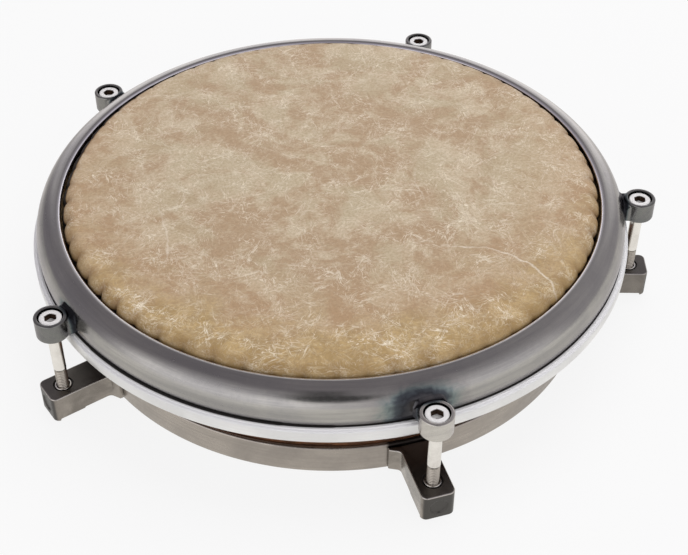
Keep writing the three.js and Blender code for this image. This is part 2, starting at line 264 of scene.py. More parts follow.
def between(tree, value, low, high, first=0.0, second=1.0, smooth=True):
    """value carried from the range low to high onto first to second, held at the ends."""
    kind = "SMOOTHSTEP" if smooth else "LINEAR"
    inputs = {"Value": value, "From Min": low, "From Max": high, "To Min": first, "To Max": second}
    return node(tree, "MapRange", inputs, interpolation_type=kind, clamp=True).outputs[0]


def cloud(tree, where, scale, detail=4.0, roughness=0.55, distortion=0.0):
    """Noise whose blobs are about 1 / scale metres wide."""
    inputs = {"Vector": where, "Scale": scale, "Detail": detail}
    inputs.update({"Roughness": roughness, "Distortion": distortion})
    return node(tree, "TexNoise", inputs).outputs["Fac"]


def painted(tree, name):
    """The number that paint() kept on the mesh."""
    return node(tree, "Attribute", attribute_name=name).outputs["Fac"]


def flat(tree, place):
    """A place or direction with its height left out."""
    return vector(tree, "MULTIPLY", place, (1.0, 1.0, 0.0))


print("helpers: blended, between, cloud, painted, flat")

# %% [markdown]
# Effects that several finishes share are node groups, built once. A group has named sockets, so that
# each material can place it with its own values.

# %% Materials and groups
def material(name, metallic=0.0, **shader_settings):
    """An empty material: its tree, its shader and its object coordinates."""
    look = bpy.data.materials.new(name)
    look.use_nodes = True
    tree = look.node_tree
    shader = tree.nodes["Principled BSDF"]
    shader.inputs["Metallic"].default_value = metallic
    for key, value in shader_settings.items():
        fill(tree, shader.inputs[key.replace("_", " ")], value)
    where = node(tree, "TexCoord").outputs["Object"]
    return look, tree, shader, where


def group(name, inputs, outputs):
    """An empty node group with its sockets: inputs and outputs are {name: kind}."""
    tree = bpy.data.node_groups.new(name, "ShaderNodeTree")
    for direction, sockets in (("INPUT", inputs), ("OUTPUT", outputs)):
        for key, kind in sockets.items():
            tree.interface.new_socket(key, in_out=direction, socket_type="NodeSocket" + kind)
    return tree, tree.nodes.new("NodeGroupInput").outputs, tree.nodes.new("NodeGroupOutput").inputs


def use(tree, shared, inputs):
    """A shared group placed in a material."""
    return node(tree, "Group", inputs, node_tree=shared).outputs


def finish(tree, shader, color, roughness, height, depth):
    """Wires colour, roughness and bump height into the shader. depth is the bump's, in metres."""
    tree.links.new(color, shader.inputs["Base Color"])
    tree.links.new(roughness, shader.inputs["Roughness"])
    bump = node(tree, "Bump", {"Height": height, "Distance": depth, "Strength": 1.0})
    tree.links.new(bump.outputs[0], shader.inputs["Normal"])


print("helpers: material, group, use, finish")

# %% [markdown]
# ## Cloudy plating
# Plated and cast metal is never one colour. Broad clouds blend it into a darker tone, and a noise
# thirty times finer breaks the clouds' edges and gives the roughness and the bump a fine speckle. One
# picture of worn metal would show the same spots on every piece, and noises don't.

# %% Shared cloudy plating
cloudy, given, result = group(
    "Cloudy plating",
    {"Vector": "Vector", "Color": "Color", "Dark": "Color", "Scale": "Float", "Roughness": "Float"},
    {"Color": "Color", "Roughness": "Float", "Height": "Float"},
)
broad = cloud(cloudy, given["Vector"], given["Scale"], 5.0, 0.6, 0.6)
fine_scale = calculate(cloudy, "MULTIPLY", given["Scale"], 30.0)
fine = cloud(cloudy, given["Vector"], fine_scale, 3.0, 0.6)
patch = between(cloudy, broad, 0.35, 0.68)
speck = between(cloudy, fine, 0.3, 0.7, -0.5, 0.5)
share = calculate(cloudy, "MULTIPLY_ADD", speck, 0.16, patch, clamp=True)
rougher = calculate(cloudy, "MULTIPLY_ADD", patch, 0.06, given["Roughness"])
rougher = calculate(cloudy, "MULTIPLY_ADD", speck, 0.05, rougher)
cloudy.links.new(blended(cloudy, share, given["Color"], given["Dark"]), result["Color"])
cloudy.links.new(rougher, result["Roughness"])
cloudy.links.new(speck, result["Height"])
print("group:", cloudy.name)

# %% [markdown]
# ## Film head: clouds
# The film is a synthetic with pressed-in fibres, made to look like skin. Its ground is pale tan with
# pinkish and olive clouds a few centimetres wide. A scan could be wrapped on it, but noises stay sharp
# at any size. Two noises choose between pale and pinkish, and a third lays olive over both.

# %% Film clouds
PALE, PINKISH, OLIVE = (0.60, 0.493, 0.34), (0.445, 0.312, 0.187), (0.50, 0.42, 0.27)
film_look, tree, shader, where = material("film_fibre", Roughness=0.5)
patches = cloud(tree, where, 24.0, 9.0, 0.66, 0.9)
small_patches = cloud(tree, where, 80.0, 5.0, 0.65, 0.5)
tint_patches = cloud(tree, where, 27.0, 7.0, 0.64, 0.6)
small_change = calculate(tree, "SUBTRACT", small_patches, 0.5)
shade = calculate(tree, "MULTIPLY_ADD", small_change, 0.5, patches)
film_color = blended(tree, between(tree, shade, 0.425, 0.60), PINKISH, PALE)
olive_share = between(tree, tint_patches, 0.46, 0.62, 0.0, 0.6)
film_color = blended(tree, olive_share, film_color, OLIVE)
print("film clouds:", film_look.name)

# %% [markdown]
# Towards its edge the film is painted golden. What counts is the distance from the axis, with a
# little of the place towards the front and the left, where the gold reaches farther in. The olive
# noise lets its border wander. A fine brown grain lies over everything.

# %% Film gold and grain
TAN, GRAIN_BROWN = (0.44, 0.26, 0.12), (0.30, 0.205, 0.11)
DARK_GOLD, LIGHT_GOLD = (0.37, 0.245, 0.085), (0.53, 0.37, 0.155)
GOLD_LEAN = (-0.06, -0.30, 0.0)
flat_place = flat(tree, where)
from_axis = vector(tree, "LENGTH", flat_place, output="Value")
lean = vector(tree, "DOT_PRODUCT", flat_place, GOLD_LEAN, output="Value")
gold_reach = calculate(tree, "ADD", from_axis, lean)
gold_reach = calculate(tree, "MULTIPLY_ADD", tint_patches, 0.07, gold_reach)
film_color = blended(tree, between(tree, gold_reach, 0.125, 0.19, 0.0, 0.42), film_color, TAN)
gold_share = between(tree, gold_reach, 0.180, 0.218, 0.0, 0.88)
gold = blended(tree, between(tree, small_patches, 0.38, 0.62), DARK_GOLD, LIGHT_GOLD)
film_color = blended(tree, gold_share, film_color, gold)
grain = cloud(tree, where, 640.0, 4.0, 0.7)
film_color = blended(tree, between(tree, grain, 0.35, 0.7, 0.0, 0.48), film_color, GRAIN_BROWN)
print("film, with its gold and grain:", len(tree.nodes), "nodes")

# %% [markdown]
# ## Film head: fibres
# The fibres are short, whitish and lie every way. Thousands of strands could be scattered, but they
# lie in the film and not on it, so a pattern is enough. A noise that is stretched in one direction
# shows only where it is near its middle value, which leaves thin lines. Five such layers cross each other,
# a coarser noise gathers each into clumps, and another thins them out in places.

# %% Film fibres
FIBRE_WHITE = (0.90, 0.82, 0.66)
FIBRE_STRETCH = 4.6
FIBRE_LAYERS = ((380.0, 0.15, 0.03), (470.0, 0.85, 0.032), (420.0, 1.5, 0.03), (500.0, 2.2, 0.032),
                (340.0, 2.8, 0.028))


def fibre_layer(scale, turn, width):
    """Thin lines in one main direction: 1 where a stretched noise is one half, fading to 0 over
    width on both sides. A coarser noise lets only clumps of them through."""
    mapping = {"Vector": where, "Rotation": (0, 0, turn), "Scale": (FIBRE_STRETCH, 1.0, 1.0)}
    lying = node(tree, "Mapping", mapping, vector_type="TEXTURE").outputs[0]
    level = cloud(tree, lying, scale, 2.0, 0.5, 1.0)
    off = calculate(tree, "ABSOLUTE", calculate(tree, "SUBTRACT", level, 0.5))
    line = between(tree, off, 0.0, width, 1.0, 0.0)
    clump = cloud(tree, lying, scale * 0.3, 3.0, 0.6)
    return calculate(tree, "MULTIPLY", line, between(tree, clump, 0.46, 0.62))


fibres = 0.0
for layer in FIBRE_LAYERS:
    fibres = calculate(tree, "MAXIMUM", fibre_layer(*layer), fibres)
thicket = between(tree, cloud(tree, where, 42.0, 4.0, 0.65), 0.36, 0.64, 0.22, 1.0)
thicket = calculate(tree, "MULTIPLY", thicket, between(tree, gold_share, 0.0, 0.8, 0.75, 1.0))
film_color = blended(tree, calculate(tree, "MULTIPLY", fibres, thicket), film_color, FIBRE_WHITE)
print("fibre layers:", len(FIBRE_LAYERS))

# %% [markdown]
# ## Film head: creases
# A few long pale creases cross the film. Each is a stretch of a wavering circle: the distance from
# the circle's centre less its radius is near zero on the line, and a noise bends it. As a group, one
# crease can be placed four times.

# %% Shared crease
WAVER = 0.007
crease_group, given, result = group(
    "Crease", {"Vector": "Vector", "Centre": "Vector", "Radius": "Float", "Width": "Float"},
    {"Value": "Float"},
)
reach = vector(crease_group, "DISTANCE", given["Vector"], given["Centre"], output="Value")
off_line = calculate(crease_group, "SUBTRACT", reach, given["Radius"])
wander = cloud(crease_group, given["Vector"], 70.0, 4.0, 0.65)
off_line = calculate(crease_group, "MULTIPLY_ADD", wander, WAVER, off_line)
off_line = calculate(crease_group, "SUBTRACT", off_line, WAVER / 2)
off_line = calculate(crease_group, "ABSOLUTE", off_line)
crease_line = between(crease_group, off_line, 0.0, given["Width"], 1.0, 0.0)
crease_group.links.new(crease_line, result["Value"])
print("group:", crease_group.name)

# %% [markdown]
# Each row below is a crease in metres: the circle's centre, its radius, the line's width, the middle
# of the stretch that shows, how far it reaches from there, and how strong it is.

# %% Film creases
CREASE_PALE = (0.84, 0.77, 0.64)
CREASES = (
    ((0.036, -0.125, 0), 0.050, 0.0010, (0.075, -0.097, 0), 0.042, 0.85),
    ((-0.260, -0.005, 0), 0.160, 0.0009, (-0.101, -0.017, 0), 0.028, 0.4),
    ((-0.150, -0.040, 0), 0.125, 0.0007, (-0.046, 0.046, 0), 0.016, 0.4),
    ((0.150, -0.030, 0), 0.104, 0.0007, (0.046, -0.018, 0), 0.018, 0.4),
)
creases = 0.0
for centre, radius, width, middle, length, strength in CREASES:
    circle = {"Vector": flat_place, "Centre": centre, "Radius": radius, "Width": width}
    line = use(tree, crease_group, circle)[0]
    from_middle = vector(tree, "DISTANCE", flat_place, middle, output="Value")
    near = between(tree, from_middle, length * 0.6, length, strength, 0.0)
    creases = calculate(tree, "MAXIMUM", calculate(tree, "MULTIPLY", line, near), creases)
broken = between(tree, small_patches, 0.35, 0.6, 0.35, 1.0)
film_color = blended(tree, calculate(tree, "MULTIPLY", creases, broken), film_color, CREASE_PALE)
print("creases:", len(CREASES))

# %% [markdown]
# ## Film head: edge and finish
# The shoulder is painted darker as shade, and painted brown shade lies in the crimps. Between the film
# and the rim it is painted nearly black as shade, where no light falls. Two paints of the mesh say
# where. Fibres, creases and grain stand a little proud, as the bump says.

# %% Film edge and finish
# Painted shade: the shoulder darker, brown in the crimps, and near black in the gap behind the lip.
SHOULDER_SHADE_BROWN, CRIMP_SHADE_BROWN = (0.27, 0.17, 0.06), (0.20, 0.105, 0.035)
GAP_SHADE_BROWN, GAP_SHADE_BLACK = (0.25, 0.145, 0.055), (0.02, 0.014, 0.01)
film_color = blended(tree, between(tree, from_axis, 0.1465, 0.1535, 0.0, 0.4), film_color, SHOULDER_SHADE_BROWN)
crimp_shade_share = calculate(tree, "MULTIPLY", painted(tree, "crimp_shade"), 0.8)
film_color = blended(tree, crimp_shade_share, film_color, CRIMP_SHADE_BROWN)
gap_shade = painted(tree, "wall")
film_color = blended(tree, between(tree, gap_shade, 0.0, 0.5), film_color, GAP_SHADE_BROWN)
film_color = blended(tree, between(tree, gap_shade, 0.35, 0.9), film_color, GAP_SHADE_BLACK)
film_height = calculate(tree, "MULTIPLY_ADD", fibres, 0.6, grain)
film_height = calculate(tree, "MULTIPLY_ADD", creases, 0.8, film_height)
film_rough = between(tree, grain, 0.3, 0.7, 0.46, 0.6)
film_rough = calculate(tree, "MULTIPLY_ADD", gap_shade, 0.5, film_rough, clamp=True)
finish(tree, shader, film_color, film_rough, film_height, 0.00006)
print("film material:", len(tree.nodes), "nodes")

# %% [markdown]
# ## Brushing round the drum
# The metals of the rim, hoop and frame ring were polished while they turned, which leaves fine lines
# along them. The noise reads a place that changes slowly with the heading, by Stretch, and fast with
# the height less the distance from the axis, so its blobs are drawn out into lines. An anisotropic
# shader could give the sheen alone, but not lines that can be seen from near.

# %% Shared brushing
brushed, given, result = group(
    "Brushed round", {"Vector": "Vector", "Scale": "Float", "Stretch": "Float"}, {"Value": "Float"},
)
height = node(brushed, "SeparateXYZ", {0: given["Vector"]}).outputs["Z"]
level_place = flat(brushed, given["Vector"])
reach = vector(brushed, "LENGTH", level_place, output="Value")
heading = vector(brushed, "NORMALIZE", level_place)
heading = vector(brushed, "SCALE", heading, Scale=given["Stretch"])
lifted = node(brushed, "CombineXYZ", {"Z": calculate(brushed, "SUBTRACT", height, reach)}).outputs[0]
lines_place = vector(brushed, "ADD", heading, lifted)
brushed.links.new(cloud(brushed, lines_place, given["Scale"], 4.0, 0.65, 0.3), result["Value"])
print("group:", brushed.name)

# %% [markdown]
# ## Rim and ear material
# The rim and its ears carry a smoked, polished plating: a dark mirror that is slightly cloudy and
# brushed round the drum in wide and thin lines. Where the ears are welded on, the heat has left teal,
# blue and near-black tints. A colour ramp holds them in their order from cool to hot, and the mesh's
# paint "weld_heat", shifted by a noise, picks one. A thin-film shader could work such tints out, but a
# ramp is easier to match. The rim's lip carries a painted highlight, the counterbores painted shade.

# %% Plating with heat tints
STREAK_GREY = (0.14, 0.13, 0.15)
LIP_HIGHLIGHT_WHITE, BORE_SHADE_BLACK = (0.90, 0.88, 0.92), (0.012, 0.012, 0.013)
COOL, HOTTEST = (1.0, 1.0, 1.0), (0.22, 0.22, 0.24)
HEAT_TINTS = (
    (0.16, (0.88, 0.87, 0.88)), (0.30, (0.70, 0.75, 0.76)), (0.42, (0.45, 0.55, 0.58)),
    (0.56, (0.17, 0.20, 0.24)), (0.74, (0.085, 0.09, 0.11)), (0.90, (0.16, 0.16, 0.18)),
)


def heat_color(tree, where):
    """The tint of the heat: the paint, plus half of a noise's change where the paint is above zero."""
    heat = painted(tree, "weld_heat")
    wander = calculate(tree, "SUBTRACT", cloud(tree, where, 120.0, 4.0, 0.6, 0.8), 0.5)
    level = calculate(tree, "MULTIPLY_ADD", wander, 0.5, heat)
    level = calculate(tree, "MULTIPLY", level, between(tree, heat, 0.02, 0.2))
    ramp = node(tree, "ValToRGB", {"Fac": level})
    stops = ramp.color_ramp.elements
    stops[0].color, stops[1].color = (*COOL, 1.0), (*HOTTEST, 1.0)
    for place, tint in HEAT_TINTS:
        stops.new(place).color = (*tint, 1.0)
    return ramp.outputs["Color"]


print("heat tints:", len(HEAT_TINTS))

# %% [markdown]
# Three finishes come from one function: the rim's, the front ear's, painted brighter as a lit copy,
# and the other ears', painted darker as a shaded copy.

# %% Rim and ear finishes
def plated(name, color, dark, roughness, scale=14.0):
    """The smoked plating in a colour and its darker tone, with streaks, heat tints, painted highlight
    and painted shade.
    """
    look, tree, shader, where = material(name, metallic=1.0, Specular_Tint=(0.85, 0.83, 0.85))
    base = use(tree, cloudy, {"Vector": where, "Color": color, "Dark": dark, "Scale": scale,
                              "Roughness": roughness})
    wide = use(tree, brushed, {"Vector": where, "Scale": 260.0, "Stretch": 0.012})[0]
    thin = use(tree, brushed, {"Vector": where, "Scale": 1500.0, "Stretch": 0.004})[0]
    streaks = calculate(tree, "MULTIPLY_ADD", between(tree, thin, 0.35, 0.65), 0.35,
                        between(tree, wide, 0.35, 0.68))
    plate = blended(tree, calculate(tree, "MULTIPLY", streaks, 0.17), base["Color"], STREAK_GREY)
    plate = blended(tree, 1.0, plate, heat_color(tree, where), "MULTIPLY")
    # A painted highlight on the rim's lip, and painted shade in the counterbores.
    plate = blended(tree, painted(tree, "wear_and_highlight"), plate, LIP_HIGHLIGHT_WHITE)
    plate = blended(tree, painted(tree, "counterbore"), plate, BORE_SHADE_BLACK)
    rough = calculate(tree, "MULTIPLY_ADD", streaks, 0.05, base["Roughness"])
    height = calculate(tree, "MULTIPLY_ADD", thin, 1.4, base["Height"])
    finish(tree, shader, plate, rough, height, 0.000005)
    return look


rim_look = plated("rim_smoked", (0.395, 0.383, 0.357), (0.325, 0.317, 0.306), 0.15)
lit_ear_look = plated("ear_lit_copy", (0.60, 0.575, 0.53), (0.46, 0.44, 0.405), 0.2)
shaded_ear_look = plated("ear_shaded_copy", (0.25, 0.245, 0.23), (0.16, 0.165, 0.16), 0.2, 22.0)
print("plating:", rim_look.name, shaded_ear_look.name, lit_ear_look.name)

# %% [markdown]
# ## Satin metals
# The other metals are less polished. One function makes a satin metal, with fine lines round the drum
# where it was turned, and a second lays another finish where a paint of the mesh is 1. Chained, they
# give each metal its painted shade, its ground faces and its edges, painted bright as wear and highlight.

# %% Satin metal helpers
def satin(name, color, dark, roughness, scale, lines=0.0, depth=0.00001):
    """A satin metal. lines above zero adds fine lines round the drum. Returns its parts."""
    look, tree, shader, where = material(name, metallic=1.0)
    base = use(tree, cloudy, {"Vector": where, "Color": color, "Dark": dark, "Scale": scale,
                              "Roughness": roughness})
    color_now, height, rough = base["Color"], base["Height"], base["Roughness"]
    if lines > 0:
        line = use(tree, brushed, {"Vector": where, "Scale": lines, "Stretch": 0.006})[0]
        line_share = between(tree, line, 0.35, 0.68)
        height = calculate(tree, "MULTIPLY_ADD", line, 1.5, height)
        rough = calculate(tree, "MULTIPLY_ADD", line_share, 0.08, rough)
        color_now = blended(tree, calculate(tree, "MULTIPLY", line_share, 0.5), color_now, dark)
    finish(tree, shader, color_now, rough, height, depth)
    return look, tree, shader, color_now, rough


def shaded_by(parts, name, color, roughness, metallic=None):
    """Another finish where the mesh's paint called name is 1. Returns the parts again."""
    look, tree, shader, color_now, rough = parts
    share = painted(tree, name)
    color_now = blended(tree, share, color_now, color)
    rough = node(tree, "Mix", {0: share, 2: rough, 3: roughness}).outputs[0]
    tree.links.new(color_now, shader.inputs["Base Color"])
    tree.links.new(rough, shader.inputs["Roughness"])
    if metallic is not None:
        less_metal = between(tree, share, 0.0, 1.0, 1.0, metallic, False)
        tree.links.new(less_metal, shader.inputs["Metallic"])
    return look, tree, shader, color_now, rough


print("helpers: satin, shaded_by")

# %% [markdown]
# The frame ring and the arms are warm dark grey. Painted shade lies on the ring behind each arm, and
# an arm's end, top and recess are painted darker as shade than its ground sides. The hoop is bright
# aluminium, with painted shade under the rim. Bolts and nut collars are nickel: heads ground nearly
# white, key sockets painted dark as shade, threads dark. The hidden screws and washers are dull zinc.

# %% Satin metals
# Painted shade: the black finishes on the ring behind each arm, in the hoop's gap under the rim, on the
# arms' ends, tops and recesses, and in the bolts' sockets.
frame_parts = satin("frame_satin", (0.41, 0.37, 0.33), (0.30, 0.27, 0.245), 0.26, 16.0, 700.0)
frame_look = shaded_by(frame_parts, "painted_shade", (0.035, 0.03, 0.027), 0.45)[0]
hoop_parts = satin("hoop_satin", (0.86, 0.86, 0.855), (0.74, 0.74, 0.74), 0.3, 22.0, 1200.0)
hoop_parts = shaded_by(hoop_parts, "ground_top", (0.86, 0.86, 0.86), 0.5, 0.2)
hoop_look = shaded_by(hoop_parts, "painted_shade", (0.03, 0.028, 0.026), 0.6)[0]
zinc_look = satin("zinc_dull", (0.55, 0.55, 0.54), (0.43, 0.43, 0.42), 0.38, 120.0)[0]
arm_parts = satin("arm_cast", (0.32, 0.29, 0.26), (0.205, 0.185, 0.165), 0.2, 60.0, 0.0, 0.00002)
arm_parts = shaded_by(arm_parts, "dark_end", (0.085, 0.081, 0.077), 0.4)
arm_look = shaded_by(arm_parts, "wear_and_highlight", (0.60, 0.57, 0.54), 0.25)[0]
nickel = satin("nickel_bright", (0.82, 0.795, 0.755), (0.72, 0.69, 0.65), 0.17, 90.0)
nickel = shaded_by(nickel, "ground_top", (0.86, 0.85, 0.83), 0.5, 0.3)
nickel = shaded_by(nickel, "threaded", (0.42, 0.385, 0.34), 0.3)
nickel_look = shaded_by(nickel, "socket", (0.075, 0.045, 0.03), 0.5)[0]
print("metals:", [look.name for look in (frame_look, hoop_look, zinc_look, arm_look, nickel_look)])

# %% [markdown]
# ## Shell material
# Only a narrow strip of the shell shows under the hoop. It is dark red-brown wood under a thick
# glossy lacquer: long grain round the drum, with orange and near-black streaks. A Mapping node
# squeezes the place sideways, which draws the noise out into grain, and the coat is the lacquer. A
# Wave texture would make grain too, but its bands are too even.

# %% Shell material
SHELL_RED, SHELL_DARK, PORE_BLACK = (0.29, 0.135, 0.07), (0.045, 0.027, 0.02), (0.02, 0.01, 0.006)
shell_look, tree, shader, where = material("shell_lacquer", Roughness=0.3, Coat_Weight=1.0,
                                           Coat_Roughness=0.06)
long_grain = node(tree, "Mapping", {"Vector": where, "Scale": (0.12, 0.12, 1.0)}).outputs[0]
streak = cloud(tree, long_grain, 160.0, 6.0, 0.65, 1.2)
pores = cloud(tree, long_grain, 900.0, 3.0, 0.7)
shell_color = blended(tree, between(tree, streak, 0.38, 0.66), SHELL_RED, SHELL_DARK)
shell_color = blended(tree, between(tree, pores, 0.5, 0.75, 0.0, 0.6), shell_color, PORE_BLACK)
shell_rough = between(tree, pores, 0.4, 0.7, 0.26, 0.4)
finish(tree, shader, shell_color, shell_rough, pores, 0.00002)
print("shell material:", len(tree.nodes), "nodes")

# %% [markdown]
# ## Film head: outline
# The film is flat over the whole face, bends down over the bearing edge in a quarter circle and flares
# out to the hoop, as a soft S-curve between two upright ends. A second line, one wall thickness
# inside, closes it. That side is never seen, so every third of its points is enough. Cloth could be
# draped over the shell instead, but a drawn outline keeps the measured sizes.

# %% Film outline
FILM_RADIUS, FILM_WALL = 154.4, 1.4
SHOULDER = 7.6
FLARE_TOP = 67.9
EDGE_RADIUS, EDGE_TOP, EDGE_FOOT = 164.6, 55.6, 50.1
INSIDE_STEP = 3


def bezier(points, count):
    """A cubic curve: each of its four points counts by its share of (1 - t) and t."""
    t = np.linspace(0, 1, count)[:, None]
    a, b, c, d = np.array(points, dtype=float)
    return (1 - t) ** 3 * a + 3 * (1 - t) ** 2 * t * b + 3 * (1 - t) * t * t * c + t ** 3 * d


def beside(line, distance):
    """An open line moved sideways: each point goes along its normal, to the right of the way."""
    along = np.gradient(line, axis=0)
    along /= np.linalg.norm(along, axis=1, keepdims=True)
    return line + distance * np.stack((along[:, 1], -along[:, 0]), axis=1)


flat_edge = FILM_RADIUS - SHOULDER
face_radius = np.concatenate((np.linspace(6, 134, 15), np.linspace(136, flat_edge, 8)))
face = np.stack((face_radius, np.full(len(face_radius), DRUM_HEIGHT)), axis=1)
shoulder = arc((flat_edge, DRUM_HEIGHT - SHOULDER), (SHOULDER, SHOULDER), np.linspace(np.pi / 2, 0, 21)[1:])
half_way = (FLARE_TOP + EDGE_TOP) / 2
flare = bezier([(FILM_RADIUS, FLARE_TOP), (FILM_RADIUS, half_way), (EDGE_RADIUS, half_way),
                (EDGE_RADIUS, EDGE_TOP)], 15)
skirt = [(EDGE_RADIUS, (EDGE_TOP + EDGE_FOOT) / 2), (EDGE_RADIUS, EDGE_FOOT)]
outside = np.vstack((face, shoulder, flare, skirt))
inside = beside(outside, FILM_WALL)[::-INSIDE_STEP]
print("film rows:", len(outside), "outside,", len(inside), "inside")

# %% [markdown]
# ## Film head: pleats
# At the shoulder the film's spare width is taken up by 60 pleats, one every 16 mm. Sculpting them
# would make each one different by accident. As a formula they stay even, and two sine waves let
# their places waver by up to 0.7 degrees. A groove's cross-section is a bell curve of the distance
# from its middle, counted in pleats. It starts as a narrow notch, is deepest on the wall and
# shallower in front.

# %% Pleats of the film
PLEATS = 60
COLUMNS_PER_PLEAT = 20
PLEAT_DEPTH = 2.2
FIRST_PLEAT = np.radians(2.0)

film_angle = around(PLEATS * COLUMNS_PER_PLEAT)
uneven = 0.008 * np.sin(7 * film_angle + 0.6) + 0.004 * np.sin(19 * film_angle + 1.9)
pleat_count = (film_angle - FIRST_PLEAT + uneven) * PLEATS / (2 * np.pi)
off_middle = np.abs(pleat_count - np.round(pleat_count))
down_line = np.concatenate(([0.0], np.cumsum(np.linalg.norm(np.diff(outside, axis=0), axis=1))))
from_shoulder = (down_line - down_line[len(face) - 1])[:, None]
half_width = 0.045 + 0.085 * smoothstep(from_shoulder, 0.0, 9.0)
valley = np.exp(-(off_middle / half_width) ** 1.6)
strength = 0.85 + 0.15 * np.sin(11 * film_angle + 0.4) + 0.12 * np.sin(23 * film_angle + 2.0)
from_front = np.abs(np.degrees(film_angle) - 270)
strength *= 0.4 + 0.6 * smoothstep(np.minimum(from_front, 360 - from_front), 28.0, 72.0)
along_wall = smoothstep(from_shoulder, 0.3, 10.5) * (1 - 0.75 * smoothstep(from_shoulder, 14.0, 26.0))
depth = PLEAT_DEPTH * along_wall * valley * strength
print("pleats:", PLEATS, "deepest", round(float(depth.max()), 2), "mm")

# %% [markdown]
# The depth is taken off along the outline's normal, on both sides of the film, so that its wall keeps
# its thickness in the grooves.

# %% Film head
film_grid = turned(np.vstack((outside, inside)), len(film_angle))
normal = outside - beside(outside, 1.0)
both_depths = np.vstack((depth, depth[::-INSIDE_STEP]))
both_normals = np.vstack((normal, normal[::-INSIDE_STEP]))
film_grid -= both_depths[..., None] * circles(both_normals[:, 0, None], both_normals[:, 1, None], film_angle)
film = piece("film_head", film_grid, "drum", ["drumhead"], film_look, ring=False, crease=60)

# %% [markdown]
# Two paints follow from the same measures, and both are painted shade. The first is brown in the
# grooves and in wider, softer fingers round them that reach over the shoulder. The second is the dark
# band behind the rim's lip. It starts 9 mm past the edge of the flat face, measured along the outline,
# but higher at the back left and at the right, where the camera sees in.

# %% Film paints
FINGER_WIDTH, FINGER_STRENGTH = 0.23, 0.82
WALL_START, WALL_RISE = 9.0, 6.8
crimp_shade, wall = np.zeros(film_grid.shape[:2]), np.zeros(film_grid.shape[:2])
# Painted shade: brown fingers round each groove, and a dark band behind the rim's lip.
finger = np.exp(-(off_middle / FINGER_WIDTH) ** 2) * smoothstep(from_shoulder, -2.5, 5.0)
finger *= FINGER_STRENGTH * np.minimum(strength, 1)
crimp_shade[:len(outside)] = np.maximum(smoothstep(depth, 0.2, 2.0), finger)
left_back = smoothstep(np.cos(film_angle - np.radians(138)), 0.707, 0.985)
right_back = 0.45 * smoothstep(np.cos(film_angle - np.radians(28)), 0.6, 1.0)
wall_start = WALL_START - WALL_RISE * np.maximum(left_back, right_back)
below_lip = smoothstep(from_shoulder, 13.5, 17.5)
wall[:len(outside)] = smoothstep(from_shoulder - wall_start, 0.0, 2.2) * (1 - below_lip)
paint(film, "crimp_shade", crimp_shade)
paint(film, "wall", wall)
print("darkest crimp:", round(float(crimp_shade.max()), 2), "darkest wall:", round(float(wall.max()), 2))

# %% [markdown]
# ## Tension rim
# The rim is a strip of sheet, rolled into a quarter of an ellipse, with its upper edge curled
# inwards to a round lip. Spun from one outline it has an even wall: the roll outside, the lip as half
# a circle, the same roll one wall thickness farther in, and a rounded foot. A bevelled curve would do
# as well, but an outline in numbers is easier to measure. The lip's first rows carry a painted highlight.

# %% Tension rim
RIM_RADIUS, RIM_CREST, RIM_WIDEST = 170.5, 157.5, 60.0
RIM_TOP, RIM_FOOT, RIM_WALL = 75.4, 55.6, 2.6
LIP_RADIUS, LIP_DIP = 155.3, 0.3
LIP_HIGHLIGHT = (0.3, 0.8, 1.0, 1.0, 0.8, 0.3)
FINE_COLUMNS = 480

rolled = np.linspace(0, np.pi / 2, 34)
roll_width, roll_height = RIM_RADIUS - RIM_CREST, RIM_TOP - RIM_WIDEST
roll = arc((RIM_CREST, RIM_WIDEST), (roll_width, roll_height), rolled)
under = arc((RIM_CREST, RIM_WIDEST), (roll_width - RIM_WALL, roll_height - RIM_WALL), rolled)
half = RIM_WALL / 2
lip_middle = (LIP_RADIUS + half, RIM_TOP - half - LIP_DIP)
lip = arc(lip_middle, (half, half), np.linspace(np.pi / 2, 3 * np.pi / 2, 11))
foot = rounded([(167.3, RIM_FOOT, 0.3), (169.9, RIM_FOOT, 0.5), (170.42, 59.0, 0)], 3)[:-1]
rim_line = np.vstack((foot, roll, lip, under[::-1]))
rim_grid = turned(rim_line, FINE_COLUMNS)
rim = piece("rim_rolled", rim_grid, "rim", ["tension_rim"], rim_look)
# The lip's first rows get a painted highlight.
bright_edge = np.zeros(len(rim_line))
bright_edge[len(foot) + len(roll):][:len(LIP_HIGHLIGHT)] = LIP_HIGHLIGHT
paint(rim, "wear_and_highlight", bright_edge)

# %% [markdown]
# ## Welding heat
# Heat spreads from each weld along the rim and across it, and leaves rings of tint. It falls off as a
# bell curve of the distance along the rim and a flatter one of the height. At the front weld it went
# farther both ways than at the others, and each stain leans a little to one side.

# %% Welding heat
WELD_HEIGHT, WELD_RISE = 62.0, 10.5


def by_station(points, turn):
    """How far points lie along the rim from a station, and whether they are on its side."""
    cos, sin = np.cos(turn), np.sin(turn)
    along = points[..., 1] * cos - points[..., 0] * sin
    return along, points[..., 0] * cos + points[..., 1] * sin > 0


heat = np.zeros(rim_grid.shape[:2])
for station, turn in enumerate(STATIONS):
    spread, reach, lean = 0.62, 10.0 + 1.5 * np.cos(3.0 * station), 3.0 * np.sin(2.4 * station)
    if station == 0:
        spread, reach, lean = 1.0, 19.0, 4.5
    along, near = by_station(rim_grid, turn)
    rise = np.abs(rim_grid[..., 2] - WELD_HEIGHT) / (WELD_RISE * spread)
    heat = np.maximum(heat, near * np.exp(-((along + lean) / reach) ** 2 - rise ** 4))
paint(rim, "weld_heat", heat)
print("welds:", len(STATIONS), "hottest:", round(float(heat.max()), 2))
